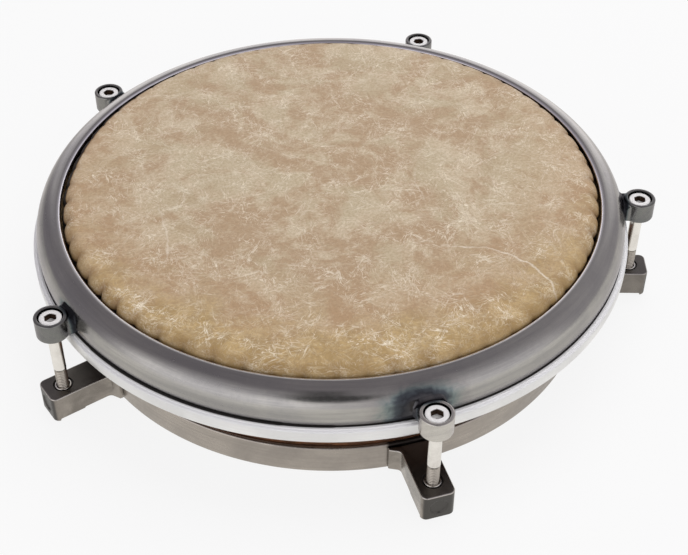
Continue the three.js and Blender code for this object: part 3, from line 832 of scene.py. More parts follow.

# %% [markdown]
# ## Hoop
# The hoop holds the film's edge in a groove and is pressed down by the rim. Its outline is a plain
# ring with a small step at the upper outer corner. The step and the top are ground paler, and a thin
# line of painted shade lies in the gap against the rim's foot, a little wider at the front left. Four
# extra rows across the top give that line a clean edge. Cutting the groove out of a cylinder is
# possible, but here the groove and the step are only corners of the outline.

# %% Hoop
HOOP_INNER, HOOP_OUTER, HOOP_FOOT, HOOP_TOP = 161.2, 173.2, 46.7, 55.3
GROOVE_INNER, GROOVE_OUTER, GROOVE_FOOT, GROOVE_LIP = 162.8, 165.0, 48.7, 54.1
SHADE_ROWS = (171.0, 170.75, 170.5, 170.25)
SHADE_EDGE, SHADE_WIDER = 170.35, 0.5
hoop_line = rounded([
    (HOOP_INNER, HOOP_FOOT, 0.4), (HOOP_OUTER, HOOP_FOOT, 1.1), (HOOP_OUTER, 54.3, 1.0),
    (171.9, 54.75, 0.2), (171.6, HOOP_TOP, 0.3), *((reach, HOOP_TOP, 0) for reach in SHADE_ROWS),
    (GROOVE_OUTER, HOOP_TOP, 0.2), (GROOVE_OUTER, GROOVE_FOOT, 0.2),
    (GROOVE_INNER, GROOVE_FOOT, 0.2), (GROOVE_INNER, GROOVE_LIP, 0.2), (HOOP_INNER, GROOVE_LIP, 0.3),
], 5)
hoop_reach, hoop_height = hoop_line[:, 0], hoop_line[:, 1]
hoop = piece("hoop_ring", turned(hoop_line, FINE_COLUMNS), "drum", ["crown_hoop"], hoop_look)
paint(hoop, "ground_top", smoothstep(hoop_height, 53.3, 54.0) * smoothstep(hoop_reach, 168.0, 169.0))
# Painted shade: a near-black line on the top, in the gap under the rim's foot.
front_left = smoothstep(np.cos(around(FINE_COLUMNS) - np.radians(225)), 0.8, 1.0)
in_shade = hoop_reach[:, None] < SHADE_EDGE + SHADE_WIDER * front_left
paint(hoop, "painted_shade", in_shade & (hoop_height[:, None] > HOOP_TOP - 0.1))

# %% [markdown]
# ## Shell and frame ring
# The shell is a plain ring whose top is the rounded bearing edge. The frame ring is a stamped band
# with a flange under the shell. Two extra rows near its top bound the painted shade behind each arm.

# %% Shell and frame ring
SHELL_INNER, SHELL_OUTER, SHELL_FOOT, SHELL_TOP = 137.2, 149.2, 2.7, 76.8
BAND_OUTER, BAND_INNER, BAND_TOP = 152.6, 150.1, 18.7
FLANGE_INNER, FLANGE_TOP = 139.1, 2.4
ARM_SHADE_LOW, ARM_SHADE_HIGH = 15.8, 16.6
shell_line = rounded([
    (SHELL_INNER, SHELL_FOOT, 0.6), (SHELL_OUTER, SHELL_FOOT, 1.0), (SHELL_OUTER, SHELL_TOP, 6.0),
    (SHELL_INNER + 4.2, SHELL_TOP, 1.0), (SHELL_INNER, SHELL_TOP - 5.0, 1.5),
], 8)
piece("shell_ring", turned(shell_line, 360), "drum", ["bearing_shell"], shell_look)

band_line = rounded([
    (FLANGE_INNER, 0.0, 0.4), (BAND_OUTER, 0.0, 2.2), (BAND_OUTER, ARM_SHADE_LOW, 0),
    (BAND_OUTER, ARM_SHADE_HIGH, 0), (BAND_OUTER, BAND_TOP, 1.1), (BAND_INNER, BAND_TOP, 0.9),
    (BAND_INNER, FLANGE_TOP, 0.9), (FLANGE_INNER, FLANGE_TOP, 0.4),
], 5)
band_grid = turned(band_line, FINE_COLUMNS)
band = piece("frame_band", band_grid, "drum", ["frame_ring"], frame_look)
# Painted shade on the ring behind each arm, near its top.
behind_arm = np.zeros(band_grid.shape[:2])
for turn in STATIONS:
    along, near = by_station(band_grid, turn)
    behind_arm = np.maximum(behind_arm, near * (1 - smoothstep(np.abs(along), 14.0, 16.5)))
paint(band, "painted_shade", behind_arm * smoothstep(band_grid[..., 2], ARM_SHADE_LOW, ARM_SHADE_HIGH))

# %% [markdown]
# ## Ears: outline
# Each ear is a short barrel with a counterbore for the bolt's head, on a neck that is welded to the
# rim. Seen from above its outline is most of a circle and two waisted sides. It is softened by moving
# each point towards its neighbours. Every ring of the barrel gets one point for each outline point, at
# angles that follow the outline's own, so that the rows join without a twist.

# %% Ear outline
EAR_RADIUS = 8.9
BARREL_OPENING = np.radians(128.2)


def even_blur(line, rounds):
    """Softens a closed line: each point moves towards the middle of its neighbours."""
    for _ in range(rounds):
        line = line / 2 + (np.roll(line, 1, axis=0) + np.roll(line, -1, axis=0)) / 4
    return line


barrel = arc((0, 0), (EAR_RADIUS, EAR_RADIUS), np.linspace(-BARREL_OPENING, BARREL_OPENING, 120))
neck = rounded([
    (-5.5, 7.0, 0), (-7.6, 7.1, 2.8), (-9.9, 9.2, 0.9), (-13.6, 9.5, 0),
    (-13.6, -9.5, 0), (-9.9, -9.2, 0.9), (-7.6, -7.1, 2.8), (-5.5, -7.0, 0),
], 6)
ear_outline = even_blur(spaced(np.vstack((barrel, neck[1:-1])), 0.35), 4)
outline_reach = np.linalg.norm(ear_outline, axis=1)
outward = ear_outline / outline_reach[:, None]
outline_angle = np.unwrap(np.arctan2(ear_outline[:, 1], ear_outline[:, 0]))
steady = np.maximum.accumulate(outline_angle) + 1e-4 * np.arange(len(outline_angle))
start_angle = outline_angle[0]
ear_angle = start_angle + (steady - start_angle) * (2 * np.pi - 0.01) / (steady[-1] - start_angle)
free_side = 1 - smoothstep(outline_reach - EAR_RADIUS, 0.02, 0.7)
print("ear columns:", len(ear_outline))

# %% [markdown]
# ## Ears: rows
# The grid runs from the bolt hole up the counterbore, over the barrel's top and down onto the neck.
# Near the rim the neck's top climbs into the weld's fillet. Bevelling a joint between two meshes is
# fragile, so the height is a smooth maximum of the neck's own height and the rim's surface: it bulges
# by a quarter of the blend where the two are equal.

# %% Ear bore and top
EAR_TOP, EAR_SEAT, EAR_FOOT, NECK_TOP = 68.1, 58.9, 56.1, 66.8
COUNTERBORE = 6.95
BARREL_EDGE = 67.55
NECK_SWELL, SWELL_FADE, NECK_FLAT_HALF = 0.75, 0.5, 5.2
DIVE_START, FILLET = 168.0, 4.4


def rim_surface(reach):
    """The height of the rolled rim at a distance from the drum's axis."""
    share = np.clip((reach - RIM_CREST) / roll_width, 0, 1)
    return RIM_WIDEST + roll_height * np.sqrt(1 - share ** 2)


def layer(plan, height):
    """A row of points: a plan of (x, y) at a height, or at one height for each point."""
    return np.column_stack((plan, np.broadcast_to(height, len(plan))))


ear_rows = [circles(radius, height, ear_angle) for radius, height in (
    (3.85, 56.4), (3.85, 58.7), (3.95, EAR_SEAT), (5.4, EAR_SEAT), (6.85, EAR_SEAT), (COUNTERBORE, 59.05),
    (COUNTERBORE, 64.0), (COUNTERBORE, 67.7), (7.05, 68.0), (7.3, EAR_TOP), (8.05, EAR_TOP),
    (8.45, 68.03), (8.75, 67.85), (EAR_RADIUS, BARREL_EDGE),
)]
circle = circles(EAR_RADIUS, 0.0, ear_angle)[:, :2]
for share in np.linspace(0, 1, 16)[1:]:
    plan = circle + (ear_outline - circle) * share
    beyond = np.maximum(np.linalg.norm(plan, axis=1) - EAR_RADIUS, 0)
    sides_drop = 0.3 * np.maximum(np.abs(plan[:, 1]) - NECK_FLAT_HALF, 0) ** 2
    own = NECK_TOP + NECK_SWELL * np.exp(-beyond / SWELL_FADE) - sides_drop
    reach = np.hypot(plan[:, 0] + BOLT_CIRCLE, plan[:, 1])
    rim_height = np.where(reach < RIM_RADIUS, rim_surface(reach), RIM_WIDEST - 4)
    closeness = np.clip(1 - np.abs(own - rim_height) / FILLET, 0, 1)
    joint = np.maximum(own, rim_height) + FILLET / 4 * closeness ** 2
    over_rim = smoothstep(RIM_RADIUS - reach, 0, 1.2)
    dive = 0.05 + 0.6 * np.maximum(DIVE_START - reach, 0) + 2.0 * over_rim * share ** 3
    height = (joint - dive) * (1 - free_side) + (BARREL_EDGE - 1.3 * share) * free_side
    ear_rows.append(layer(plan, height))
edge_height = ear_rows[-1][:, 2]
ear_rows[-1][:, :2] -= 0.25 * outward * (1 - free_side)[:, None]
print("ear rows to the edge:", len(ear_rows))

# %% [markdown]
# From the edge the grid goes down the wall and back underneath to the hole. Its inner end would come
# through the rim's thin sheet, so points that lie deeper than the middle of the sheet are pushed out
# to it.

# %% Ear wall and underside
WALL_ROWS = 22
foot_height = EAR_FOOT + 0.9 * np.maximum(np.abs(ear_outline[:, 1]) - 7.0, 0) * (1 - free_side)
for share in np.linspace(0, 1, WALL_ROWS):
    height = (edge_height - 0.35) * (1 - share) + (foot_height + 0.5) * share
    ear_rows.append(layer(ear_outline, height))
for inset, rise in ((0.15, 0.15), (0.5, 0.0)):
    ear_rows.append(layer(ear_outline - inset * outward, foot_height + rise))
hole_edge = circles(4.2, 0, ear_angle)[:, :2]
for share in (0.35, 0.7, 0.97):
    plan = ear_outline * (1 - share) + hole_edge * share
    ear_rows.append(layer(plan, foot_height * (1 - share) + EAR_FOOT * share))
ear_grid = np.stack(ear_rows)
ear_grid[..., 0] += BOLT_CIRCLE
up_sheet = (ear_grid[..., 2] - RIM_WIDEST) / (roll_height - RIM_WALL / 2)
sheet_middle = RIM_CREST + (roll_width - RIM_WALL / 2) * np.sqrt(np.clip(1 - up_sheet ** 2, 0, 1))
push = np.maximum(sheet_middle / np.hypot(ear_grid[..., 0], ear_grid[..., 1]), 1)
ear_grid[..., :2] *= push[..., None]
print("ear rows:", len(ear_grid))

# %% [markdown]
# One ear is built along +X and turned to each station. It is hot at the neck and cools outwards, and
# its counterbore, the first eight rows, is painted black as shade.

# %% Ears
BORE_ROWS = 8
for station, turn in enumerate(STATIONS):
    # The front ear gets the lit copy of the plating, and the others get the shaded copy.
    look, heat, cool = (shaded_ear_look, 0.8, 175.0) if station else (lit_ear_look, 0.85, 176.0)
    number = station + 1
    placed = swung(ear_grid, turn)
    ear = piece(f"ear_{number}", placed, "rim", [f"rim_ear_{number}"], look, crease=40)
    reach = np.hypot(placed[..., 0], placed[..., 1])
    paint(ear, "weld_heat", heat * (1 - smoothstep(reach, RIM_RADIUS, cool)))
    # Painted shade: the counterbore is black.
    paint(ear, "counterbore", np.arange(len(ear_grid)) < BORE_ROWS)

# %% [markdown]
# ## Tension bolts: head and shank
# Socket-head bolts: a hexagonal key socket, a round head with a soft edge, a smooth shank and a
# narrow joint line. A table lists each row's radius, height and how hexagonal it is. The hexagon's
# edge is the distance to its flats, divided by the cosine of the angle to the nearest flat. A boolean
# could sink the socket, but it leaves uneven faces that shade badly.

# %% Bolt head and shank
HEX_HALF, HEAD_RADIUS, HEAD_TOP, HEAD_SEAT = 3.0, 6.2, 67.1, 60.4
SHANK_RADIUS, SHANK_FOOT = 3.55, 30.6
JOINT_RADIUS, JOINT_TOP, JOINT_FOOT = 2.9, 30.25, 29.8
THREAD_RADIUS = 3.4
BOLT_COLUMNS = 96
bolt_angle = around(BOLT_COLUMNS)


def hexagon(half_flat, angle):
    """The distance from a hexagon's middle to its edge in each direction."""
    off = (angle + np.pi / 6) % (np.pi / 3) - np.pi / 6
    return half_flat / np.cos(off)


def lathe_rows(table, angle):
    """Rows (radius, height, hexagon share) round an upright axis."""
    radius, height, six = (np.array(column, dtype=float)[:, None] for column in zip(*table))
    return circles(radius * (1 - six) + hexagon(radius, angle) * six, height, angle)


HEAD_TABLE = [
    (1.2, 63.4, 0), (2.88, 63.5, 1), (2.96, 63.5, 1), (HEX_HALF, 63.6, 1), (HEX_HALF, 65.0, 1),
    (HEX_HALF, 66.65, 1), (3.08, 66.85, 0.9), (3.5, 67.08, 0.15), (3.65, HEAD_TOP, 0), (4.5, HEAD_TOP, 0),
    (5.5, HEAD_TOP, 0), (5.85, 67.03, 0), (6.08, 66.85, 0), (HEAD_RADIUS, 66.55, 0),
    (HEAD_RADIUS, 64.5, 0), (HEAD_RADIUS, 60.6, 0), (6.05, HEAD_SEAT, 0), (4.0, HEAD_SEAT, 0),
    (3.65, 60.3, 0), (SHANK_RADIUS, 60.0, 0), (SHANK_RADIUS, 52.0, 0), (SHANK_RADIUS, 41.0, 0),
    (SHANK_RADIUS, SHANK_FOOT, 0), (SHANK_RADIUS, 30.35, 0), (3.5, JOINT_TOP, 0),
    (JOINT_RADIUS, JOINT_TOP, 0), (JOINT_RADIUS, JOINT_FOOT, 0), (3.3, JOINT_FOOT, 0),
    (THREAD_RADIUS, 29.7, 0),
]
print("bolt head and shank rows:", len(HEAD_TABLE))

# %% [markdown]
# ## Tension bolts: thread
# A thread could be a Screw modifier's helix. Here it is a wave in the radius whose phase climbs one
# pitch each turn, so that it joins the shank as rows of the same grid and fades out at both ends.

# %% Bolt thread
PITCH = 1.25
THREAD_TOP, THREAD_FOOT, THREAD_DEPTH = 29.6, 3.9, 0.3
thread_height = np.linspace(THREAD_TOP, THREAD_FOOT, 220)[:, None]
phase = thread_height / PITCH - bolt_angle / (2 * np.pi)
tooth = 0.5 + 0.5 * np.cos(2 * np.pi * phase)
fade = smoothstep(THREAD_TOP - thread_height, 0, 1.2) * smoothstep(thread_height - THREAD_FOOT, 0, 1.2)
thread = circles(THREAD_RADIUS - THREAD_DEPTH * tooth * fade, thread_height, bolt_angle)
tip = lathe_rows([(3.3, 3.6, 0), (2.9, 3.25, 0), (1.5, 3.2, 0)], bolt_angle)
print("turns of thread:", round((THREAD_TOP - THREAD_FOOT) / PITCH, 1))

# %% [markdown]
# Each bolt was left at another angle, so the sockets point different ways. The rows tell the paints
# apart: the socket's walls and the joint line are painted dark as shade, its floor and the head's top
# are ground, and everything below the joint line is thread.

# %% Tension bolts
SOCKET_ROWS, JOINT_ROWS = range(2, 6), range(24, 28)
GROUND_ROWS = (0, 1, *range(7, 13))
FIRST_THREAD_ROW = 28
bolt_row = np.arange(len(HEAD_TABLE) + len(thread) + len(tip))
for station, turn in enumerate(STATIONS):
    number = station + 1
    key_turn = np.radians(-17.0 + 14.0 * station)
    head = swung(lathe_rows(HEAD_TABLE, bolt_angle - key_turn), key_turn)
    placed = np.concatenate((head, thread, tip)) + circles(BOLT_CIRCLE, 0, turn)
    bolt = piece(f"bolt_{number}_socket_head", placed, f"bolt_{number}", [f"tension_bolt_{number}"],
                 nickel_look, ring=False, crease=32)
    # Painted shade in the key socket and along the joint line.
    paint(bolt, "socket", np.isin(bolt_row, (*SOCKET_ROWS, *JOINT_ROWS)))
    paint(bolt, "ground_top", np.isin(bolt_row, GROUND_ROWS))
    paint(bolt, "threaded", bolt_row >= FIRST_THREAD_ROW)

# %% [markdown]
# ## Arms: outline
# Each arm is a cast bar with a flared root that meets the frame ring along its curve. The outline is
# seen from above, with the bolt's axis as its middle. An inner line of the bar's waist, without the
# flare, is the stage between the round recess and the outline. Extruding a box is quicker at first, but
# a formula follows the frame ring's curve exactly.

# %% Arm outline
ARM_TOP, ARM_EDGE, ARM_HALF, ROOT_HALF = 17.0, 0.8, 9.25, 15.0
ROOT_RADIUS = 152.9
ROOT, FLARE_START, FLARE_END, ARM_END = (reach - BOLT_CIRCLE for reach in (152.16, 154.2, 157.2, 191.0))
arm_outline = rounded([
    (ROOT, ROOT_HALF, 0), (ROOT, -ROOT_HALF, 0), (FLARE_START, -ROOT_HALF, 0.5),
    (FLARE_END, -ARM_HALF, 3.0), (ARM_END, -ARM_HALF, 3.5), (ARM_END, ARM_HALF, 3.5),
    (FLARE_END, ARM_HALF, 3.0), (FLARE_START, ROOT_HALF, 0.5),
], 8)
arm_outline = spaced(arm_outline, 0.42)
at_root = arm_outline[:, 0] < ROOT + 0.34
arm_outline[at_root, 0] = np.sqrt(ROOT_RADIUS ** 2 - arm_outline[at_root, 1] ** 2) - BOLT_CIRCLE
ahead = np.roll(arm_outline, -1, axis=0) - np.roll(arm_outline, 1, axis=0)
arm_outward = np.stack((ahead[:, 1], -ahead[:, 0]), axis=1) / np.linalg.norm(ahead, axis=1, keepdims=True)
arm_outward *= np.sign(np.einsum("i,i->", arm_outline[:, 0], ahead[:, 1]))
edge_inset = arm_outline - ARM_EDGE * arm_outward
WAIST_HALF = ARM_HALF - ARM_EDGE - 0.05
half_here = np.interp(-edge_inset[:, 0], (22.8, 25.8), (WAIST_HALF, ROOT_HALF - ARM_EDGE))
waist = edge_inset * np.stack((np.ones(len(edge_inset)), WAIST_HALF / half_here), axis=1)
waist_angle = np.unwrap(np.arctan2(waist[:, 1], waist[:, 0]))
print("arm columns:", len(arm_outline))

# %% [markdown]
# ## Arms: rows
# The grid runs from the nut's sleeve over the top, round the softened edge and down the sides, where
# a shallow round dish is pressed into the end. Underneath it follows the stepped floor back to the
# nut's hexagonal pocket. Straight stages between two plans are all made by one function.

# %% Arm rows
RECESS_RADIUS, RECESS_FLOOR, SLEEVE_RADIUS, POCKET_TOP, POCKET_HALF = 5.45, 16.0, 4.85, 8.9, 6.8
DISH_RADIUS, DISH_DEPTH = 4.6, 0.6


def arm_floor(plan):
    """The stepped underside: a lip at the end, then a pad, then the waist towards the root."""
    out = plan[:, 0] + BOLT_CIRCLE
    return 1.2 - 1.2 * smoothstep(out, 187.8, 188.2) + 0.7 * (1 - smoothstep(out, 172.8, 173.2))


def stage_rows(first, last, count, height):
    """count rows from one plan to another, without the first. height is a number or a function."""
    plans = [first + (last - first) * share for share in np.linspace(0, 1, count + 1)[1:]]
    return [layer(plan, height(plan) if callable(height) else height) for plan in plans]


arm_rows = [circles(radius, height, waist_angle) for radius, height in (
    (SLEEVE_RADIUS, POCKET_TOP), (SLEEVE_RADIUS, 12.0), (SLEEVE_RADIUS, 15.9), (4.95, RECESS_FLOOR),
    (5.3, RECESS_FLOOR), (RECESS_RADIUS, 16.12), (RECESS_RADIUS, 16.8), (5.58, ARM_TOP),
)]
recess_edge = circles(5.6, 0, waist_angle)[:, :2]
arm_rows += stage_rows(recess_edge, waist, 7, ARM_TOP)
arm_rows += stage_rows(waist, edge_inset, 4, ARM_TOP)
for turn in np.linspace(0, np.pi / 2, 6)[1:]:
    plan = edge_inset + ARM_EDGE * np.sin(turn) * arm_outward
    arm_rows.append(layer(plan, ARM_TOP - ARM_EDGE + ARM_EDGE * np.cos(turn)))
print("arm rows to the edge:", len(arm_rows))

# %% [markdown]
# The dish is a round step of the distance from the end's middle, and moves only the points that lie
# on the flat end.

# %% Arm sides and underside
floor_here = arm_floor(arm_outline)
on_end = arm_outline[:, 0] > ARM_END - 0.05
for share in np.linspace(0, 1, 36)[1:]:
    height = (ARM_TOP - ARM_EDGE) * (1 - share) + (floor_here + ARM_EDGE) * share
    from_middle = np.hypot(arm_outline[:, 1], height - ARM_TOP / 2)
    dish = on_end * (1 - smoothstep(from_middle, DISH_RADIUS, DISH_RADIUS + 0.5))
    arm_rows.append(layer(arm_outline - DISH_DEPTH * dish[:, None] * (1.0, 0.0), height))
for turn in np.linspace(0, np.pi / 2, 5)[1:]:
    plan = edge_inset + ARM_EDGE * np.cos(turn) * arm_outward
    arm_rows.append(layer(plan, floor_here + ARM_EDGE * (1 - np.sin(turn))))
pocket = circles(hexagon(POCKET_HALF, waist_angle - np.pi / 2), 0, waist_angle)[:, :2]
arm_rows += stage_rows(edge_inset, waist, 4, arm_floor)
arm_rows += stage_rows(waist, pocket, 25, arm_floor)
arm_rows += [layer(pocket, 5.0), layer(pocket, POCKET_TOP)]
arm_grid = np.stack(arm_rows)
arm_grid[..., 0] += BOLT_CIRCLE
print("arm rows:", len(arm_grid))

# %% [markdown]
# The end, the recess and the top are painted darker as shade, the upper edges are painted bright as
# wear and highlight, and the arm at the right is painted darker than the others.

# %% Arms
EDGE_ROWS, EDGE_WEAR = slice(19, 23), (0.25, 0.6, 0.6, 0.25)
END_SHADE, END_SHADE_TOP, RECESS_SHADE, TOP_SHADE = (189.2, 190.4), 16.3, 5.55, 16.95
DARKER_ARM_STATION = 4
reach, height = arm_grid[..., 0], arm_grid[..., 2]
from_bolt = np.hypot(reach - BOLT_CIRCLE, arm_grid[..., 1])
# Painted shade: the end, the recess and the top are darker.
at_end = smoothstep(reach, *END_SHADE) * (height < END_SHADE_TOP)
darker = np.maximum(np.maximum(at_end, from_bolt < RECESS_SHADE), 0.7 * (height > TOP_SHADE))
bright_edge = np.zeros(len(arm_grid))
bright_edge[EDGE_ROWS] = EDGE_WEAR
for station, turn in enumerate(STATIONS):
    number = station + 1
    arm = piece(f"arm_{number}_cast", swung(arm_grid, turn), "drum", [f"arm_{number}"], arm_look,
                crease=38)
    paint(arm, "dark_end", np.maximum(darker, 0.4 * (station == DARKER_ARM_STATION)))
    paint(arm, "wear_and_highlight", bright_edge)

# %% [markdown]
# ## Nuts, screws and washers
# The receiver nuts are hexagons with a round collar, whose bright ring shows in the arm's recess.
# The arm screws and their washers are seen from inside the drum alone, and the washers under the
# bolts' heads hardly at all. All are rows of points round an axis. The arm screws and their washers
# are tipped over, so that it points away from the drum's middle. Plain cylinders would be enough from
# far away, but softened edges catch the light as metal does.

# %% Nuts, screws and washers
SMALL_COLUMNS = 72
SCREW_HEIGHT, SCREW_START, WASHER_START, SEAT_FOOT = 10.0, 131.1, 135.4, 59.2
small_angle = around(SMALL_COLUMNS)
NUT_TABLE = [
    (3.7, 3.6, 0), (3.7, 16.8, 0), (3.85, 17.0, 0), (4.4, 17.0, 0), (4.55, 16.85, 0), (4.55, 12.0, 0),
    (4.55, 8.6, 0), (5.9, 8.6, 0.4), (6.45, 8.25, 1), (6.5, 8.0, 1), (6.5, 4.0, 1), (6.45, 3.75, 1),
    (5.9, 3.4, 0.4), (4.0, 3.4, 0),
]
SCREW_TABLE = [
    (1.5, 0.25, 0), (4.3, 0.0, 0), (4.9, 0.25, 0.8), (5.0, 0.5, 1), (5.0, 3.7, 1), (4.9, 4.0, 1),
    (3.2, 4.0, 0), (3.0, 4.2, 0), (3.0, 20.0, 0), (3.0, 29.0, 0), (2.4, 29.8, 0), (1.0, 29.85, 0),
]


def washer(hole, outer, wall):
    """A flat ring with softened edges, from height 0 to its wall."""
    soft = min(0.25, wall / 4)
    line = rounded([(hole, 0, soft), (outer, 0, soft), (outer, wall, soft), (hole, wall, soft)], 3)
    return turned(line, SMALL_COLUMNS)


def laid_down(grid, reach):
    """An upright grid tipped so that its axis points away from the drum's middle."""
    return np.stack((grid[..., 2] + reach, grid[..., 1], SCREW_HEIGHT - grid[..., 0]), axis=-1)


nut_grid = lathe_rows(NUT_TABLE, small_angle + np.pi / 2) + [BOLT_CIRCLE, 0, 0]
screw_grid = laid_down(lathe_rows(SCREW_TABLE, small_angle), SCREW_START)
seat_grid = washer(3.85, 6.5, 0.9)
flat_grid = laid_down(washer(3.35, 6.5, 1.4), WASHER_START)
for station, turn in enumerate(STATIONS):
    number = station + 1
    seat = seat_grid + circles(BOLT_CIRCLE, SEAT_FOOT, turn)
    piece(f"nut_{number}_collar", swung(nut_grid, turn), "drum", [f"receiver_nut_{number}"], nickel_look)
    piece(f"seat_washer_{number}", seat, "rim", [f"bolt_washer_{number}"], zinc_look)
    piece(f"screw_{number}_hexagon", swung(screw_grid, turn), "drum", [f"arm_screw_{number}"], zinc_look,
          ring=False)
    piece(f"flat_washer_{number}", swung(flat_grid, turn), "drum", [f"screw_washer_{number}"], zinc_look)

# %% [markdown]
# ## The studio's bright sides
# Polished metal shows its surroundings, so most of the rim's look is the room. The photograph's room
# is grey-lavender with four soft bright sides: behind the drum, at the left front, at the right front
# and at the right. Large lamps would make them too, but a lamp's mirror image ends in a hard line.
# Instead each is a smooth function of the heading, and both the world and the floor's mirror image
# use it.

# %% Bright sides of the room
BRIGHT_SIDES = ((70.0, 45.0, 0.45), (217.0, 52.0, 0.3), (298.0, 48.0, 0.3), (12.0, 60.0, 0.3))


def facing(tree, heading, turn):
    """The cosine of the angle between a level heading and a turn in degrees."""
    toward = (np.cos(np.radians(turn)), np.sin(np.radians(turn)), 0.0)
    return vector(tree, "DOT_PRODUCT", heading, toward, output="Value")


def bright_sides(tree, direction):
    """How far a direction points at each bright side: 1 in its core, 0 at its width."""
    heading = vector(tree, "NORMALIZE", flat(tree, direction))
    shares = []
    for turn, width, core in BRIGHT_SIDES:
        edge, inner = np.cos(np.radians((width, width * core)))
        shares.append(between(tree, facing(tree, heading, turn), edge, inner))
    return shares


print("bright sides:", len(BRIGHT_SIDES))

# %% [markdown]
# ## Floor
# The floor is plain and pale. It glows to the camera and in mirrors, so that the background is as
# white as in the photograph while the drum's soft shadow still falls on it. A brighter lamp would
# whiten it too, but would burn out the drum. Farther out, what metal mirrors of the floor takes on the
# bright sides of the room.

# %% Floor
FLOOR = -DRUM_HEIGHT * MM - 0.0002
FLOOR_SIZE = 12
NEAR_GLOW, FAR_GLOW = 0.86, 0.58
FAR_START, FAR_FULL = 0.28, 0.6
FLOOR_STRENGTHS = (0.75, 0.65, 0.5, 0.25)
WHITE, MIRRORED_WHITE = (1.0, 1.0, 1.0), (1.0, 0.985, 0.95)
bpy.ops.mesh.primitive_plane_add(size=FLOOR_SIZE, location=(0, 0, FLOOR))
floor = bpy.context.object
floor.name = "studio_floor"
floor_look, tree, shader, where = material("studio_white", Roughness=0.9, Specular_IOR_Level=0.0)
fleck = cloud(tree, where, 400.0, 3.0, 0.6)
floor_color = blended(tree, fleck, (0.098, 0.098, 0.098), (0.102, 0.102, 0.102))
rays = node(tree, "LightPath").outputs
seen = calculate(tree, "MAXIMUM", rays["Is Camera Ray"], rays["Is Glossy Ray"])
seen = calculate(tree, "MAXIMUM", seen, rays["Is Transmission Ray"])
from_drum = vector(tree, "LENGTH", where, output="Value")
far_out = calculate(tree, "MULTIPLY", between(tree, from_drum, FAR_START, FAR_FULL), rays["Is Glossy Ray"])
mirrored = FAR_GLOW
for share, strength in zip(bright_sides(tree, where), FLOOR_STRENGTHS):
    mirrored = calculate(tree, "MULTIPLY_ADD", share, strength, mirrored)
gain = calculate(tree, "MULTIPLY", far_out, calculate(tree, "SUBTRACT", mirrored, NEAR_GLOW))
glow = calculate(tree, "MULTIPLY", seen, calculate(tree, "ADD", gain, NEAR_GLOW))
glow_color = blended(tree, rays["Is Glossy Ray"], WHITE, MIRRORED_WHITE)
tree.links.new(floor_color, shader.inputs["Base Color"])
tree.links.new(glow, shader.inputs["Emission Strength"])
tree.links.new(glow_color, shader.inputs["Emission Color"])
floor.data.materials.append(floor_look)
print("floor at", FLOOR, "m")

# %% [markdown]
# ## World
# The room is a touch darker overhead. Each bright side has its own strength and fades out upwards,
# between two heights. Two dark shapes stand for a camera stand in front of the drum and for the camera
# itself, because polished metal mirrors both. A picture of a studio could be wrapped round instead,
# but smooth steps can be moved one by one until the rim looks right.

# %% World
VIEWPOINT = np.array((-0.1756, -0.5936, 0.4738))
ROOM_LOW, ROOM_HIGH = (0.375, 0.355, 0.39), (0.32, 0.30, 0.33)
STAND_GREY, CAMERA_GREY = (0.06, 0.06, 0.063), (0.07, 0.07, 0.073)
STAND_TURN = -111.0
SIDE_HEIGHTS = ((1.2, 0.17, 0.70, True), (1.15, 0.3, 0.92, False), (0.75, 0.25, 1.0, False),
                (0.17, 0.75, 1.0, False))
world = bpy.data.worlds.new("studio")
bpy.context.scene.world = world
world.use_nodes = True
sky = world.node_tree
direction = node(sky, "TexCoord").outputs["Generated"]
rise = node(sky, "SeparateXYZ", {0: direction}).outputs["Z"]
room = blended(sky, between(sky, rise, 0.3, 0.85), ROOM_LOW, ROOM_HIGH)
bright = 0.0
for share, (strength, low, high, smooth) in zip(bright_sides(sky, direction), SIDE_HEIGHTS):
    side = calculate(sky, "MULTIPLY", share, between(sky, rise, low, high, strength, 0.0, smooth))
    bright = calculate(sky, "ADD", side, bright)
room = blended(sky, 1.0, room, bright, "ADD")
heading = vector(sky, "NORMALIZE", flat(sky, direction))
stand = between(sky, facing(sky, heading, STAND_TURN), 0.966, 0.994)
stand = calculate(sky, "MULTIPLY", stand, between(sky, rise, 0.42, 0.56))
stand = calculate(sky, "MULTIPLY", stand, between(sky, rise, 0.92, 0.985, 0.85, 0.0))
room = blended(sky, stand, room, STAND_GREY)
toward_camera = tuple(VIEWPOINT / np.linalg.norm(VIEWPOINT))
at_camera = vector(sky, "DOT_PRODUCT", direction, toward_camera, output="Value")
room = blended(sky, between(sky, at_camera, 0.955, 0.986), room, CAMERA_GREY)
sky.links.new(room, sky.nodes["Background"].inputs["Color"])
sky.nodes["Background"].inputs["Strength"].default_value = 1.0
print("world:", len(sky.nodes), "nodes")

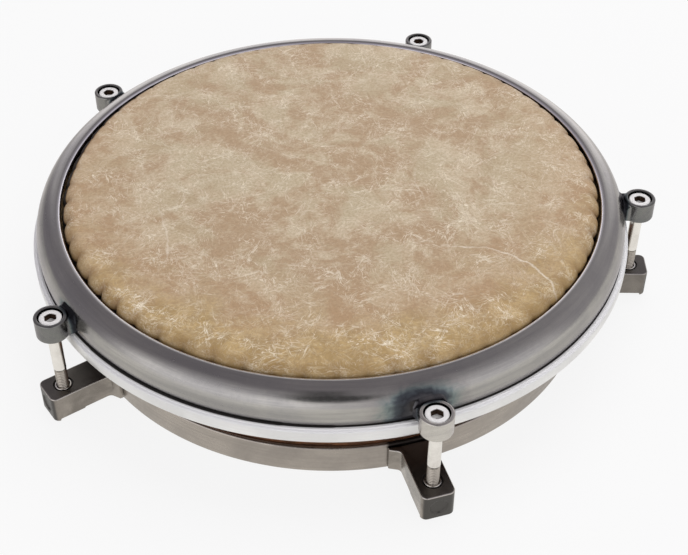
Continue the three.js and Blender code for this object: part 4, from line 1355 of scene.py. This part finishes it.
# %% [markdown]
# ## Lamps
# Two soft lamps add a little direction: one high up at the back right, which lays the shadow in
# front, and one in front, which opens the arms' sides. Metal doesn't mirror them, because the room's
# bright sides already stand for them.

# %% Lamps
def lamp(name, place, size, power):
    """A soft square lamp that shines towards the drum. Its axis is the line from the origin."""
    light = bpy.data.lights.new(name, "AREA")
    light.shape = "SQUARE"
    light.size = size
    light.energy = power
    thing = bpy.data.objects.new(name, light)
    bpy.context.scene.collection.objects.link(thing)
    away = np.array(place) / np.linalg.norm(place)
    side = np.cross((0, 0, 1), away)
    side /= np.linalg.norm(side)
    axes = np.column_stack((side, np.cross(away, side), away))
    thing.matrix_world = Matrix.Translation(place) @ Matrix(axes.tolist()).to_4x4()
    thing.visible_glossy = False
    thing.visible_camera = False


lamp("lamp_over", (0.5, 0.4, 1.6), 1.4, 15.0)
lamp("lamp_front", (0.2, -1.5, 1.1), 1.0, 5.5)
print("lights:", len(bpy.data.lights))

# %% [markdown]
# ## Camera
# The camera's place and its three axes were worked out from the photograph: five evenly spaced ears
# and five circles round one axis leave only one viewpoint. The lens comes from the same fit.

# %% Camera
RIGHT = np.array((0.95557, -0.29475, 0.00077))
DOWN = np.array((-0.19498, -0.63410, -0.74827))
FORWARD = np.array((0.22104, 0.71487, -0.66340))
SENSOR_WIDTH, LENS, NEAREST = 36.0, 70.32, 0.01
camera = bpy.data.objects.new("camera", bpy.data.cameras.new("camera"))
bpy.context.scene.collection.objects.link(camera)
place = np.eye(4)
place[:3] = np.column_stack((RIGHT, -DOWN, -FORWARD, VIEWPOINT))
camera.matrix_world = Matrix(place.tolist())
camera.data.sensor_width = SENSOR_WIDTH
camera.data.lens = LENS
camera.data.clip_start = NEAREST
bpy.context.scene.camera = camera
bpy.context.scene.view_settings.view_transform = "Standard"
print("camera distance:", round(float(np.linalg.norm(VIEWPOINT)), 3), "m")

# %% [markdown]
# ## Pieces
# The number of pieces made is printed. The visual model has to stay inside the imported model's
# box.

# %% Pieces
print("pieces:", len(made))
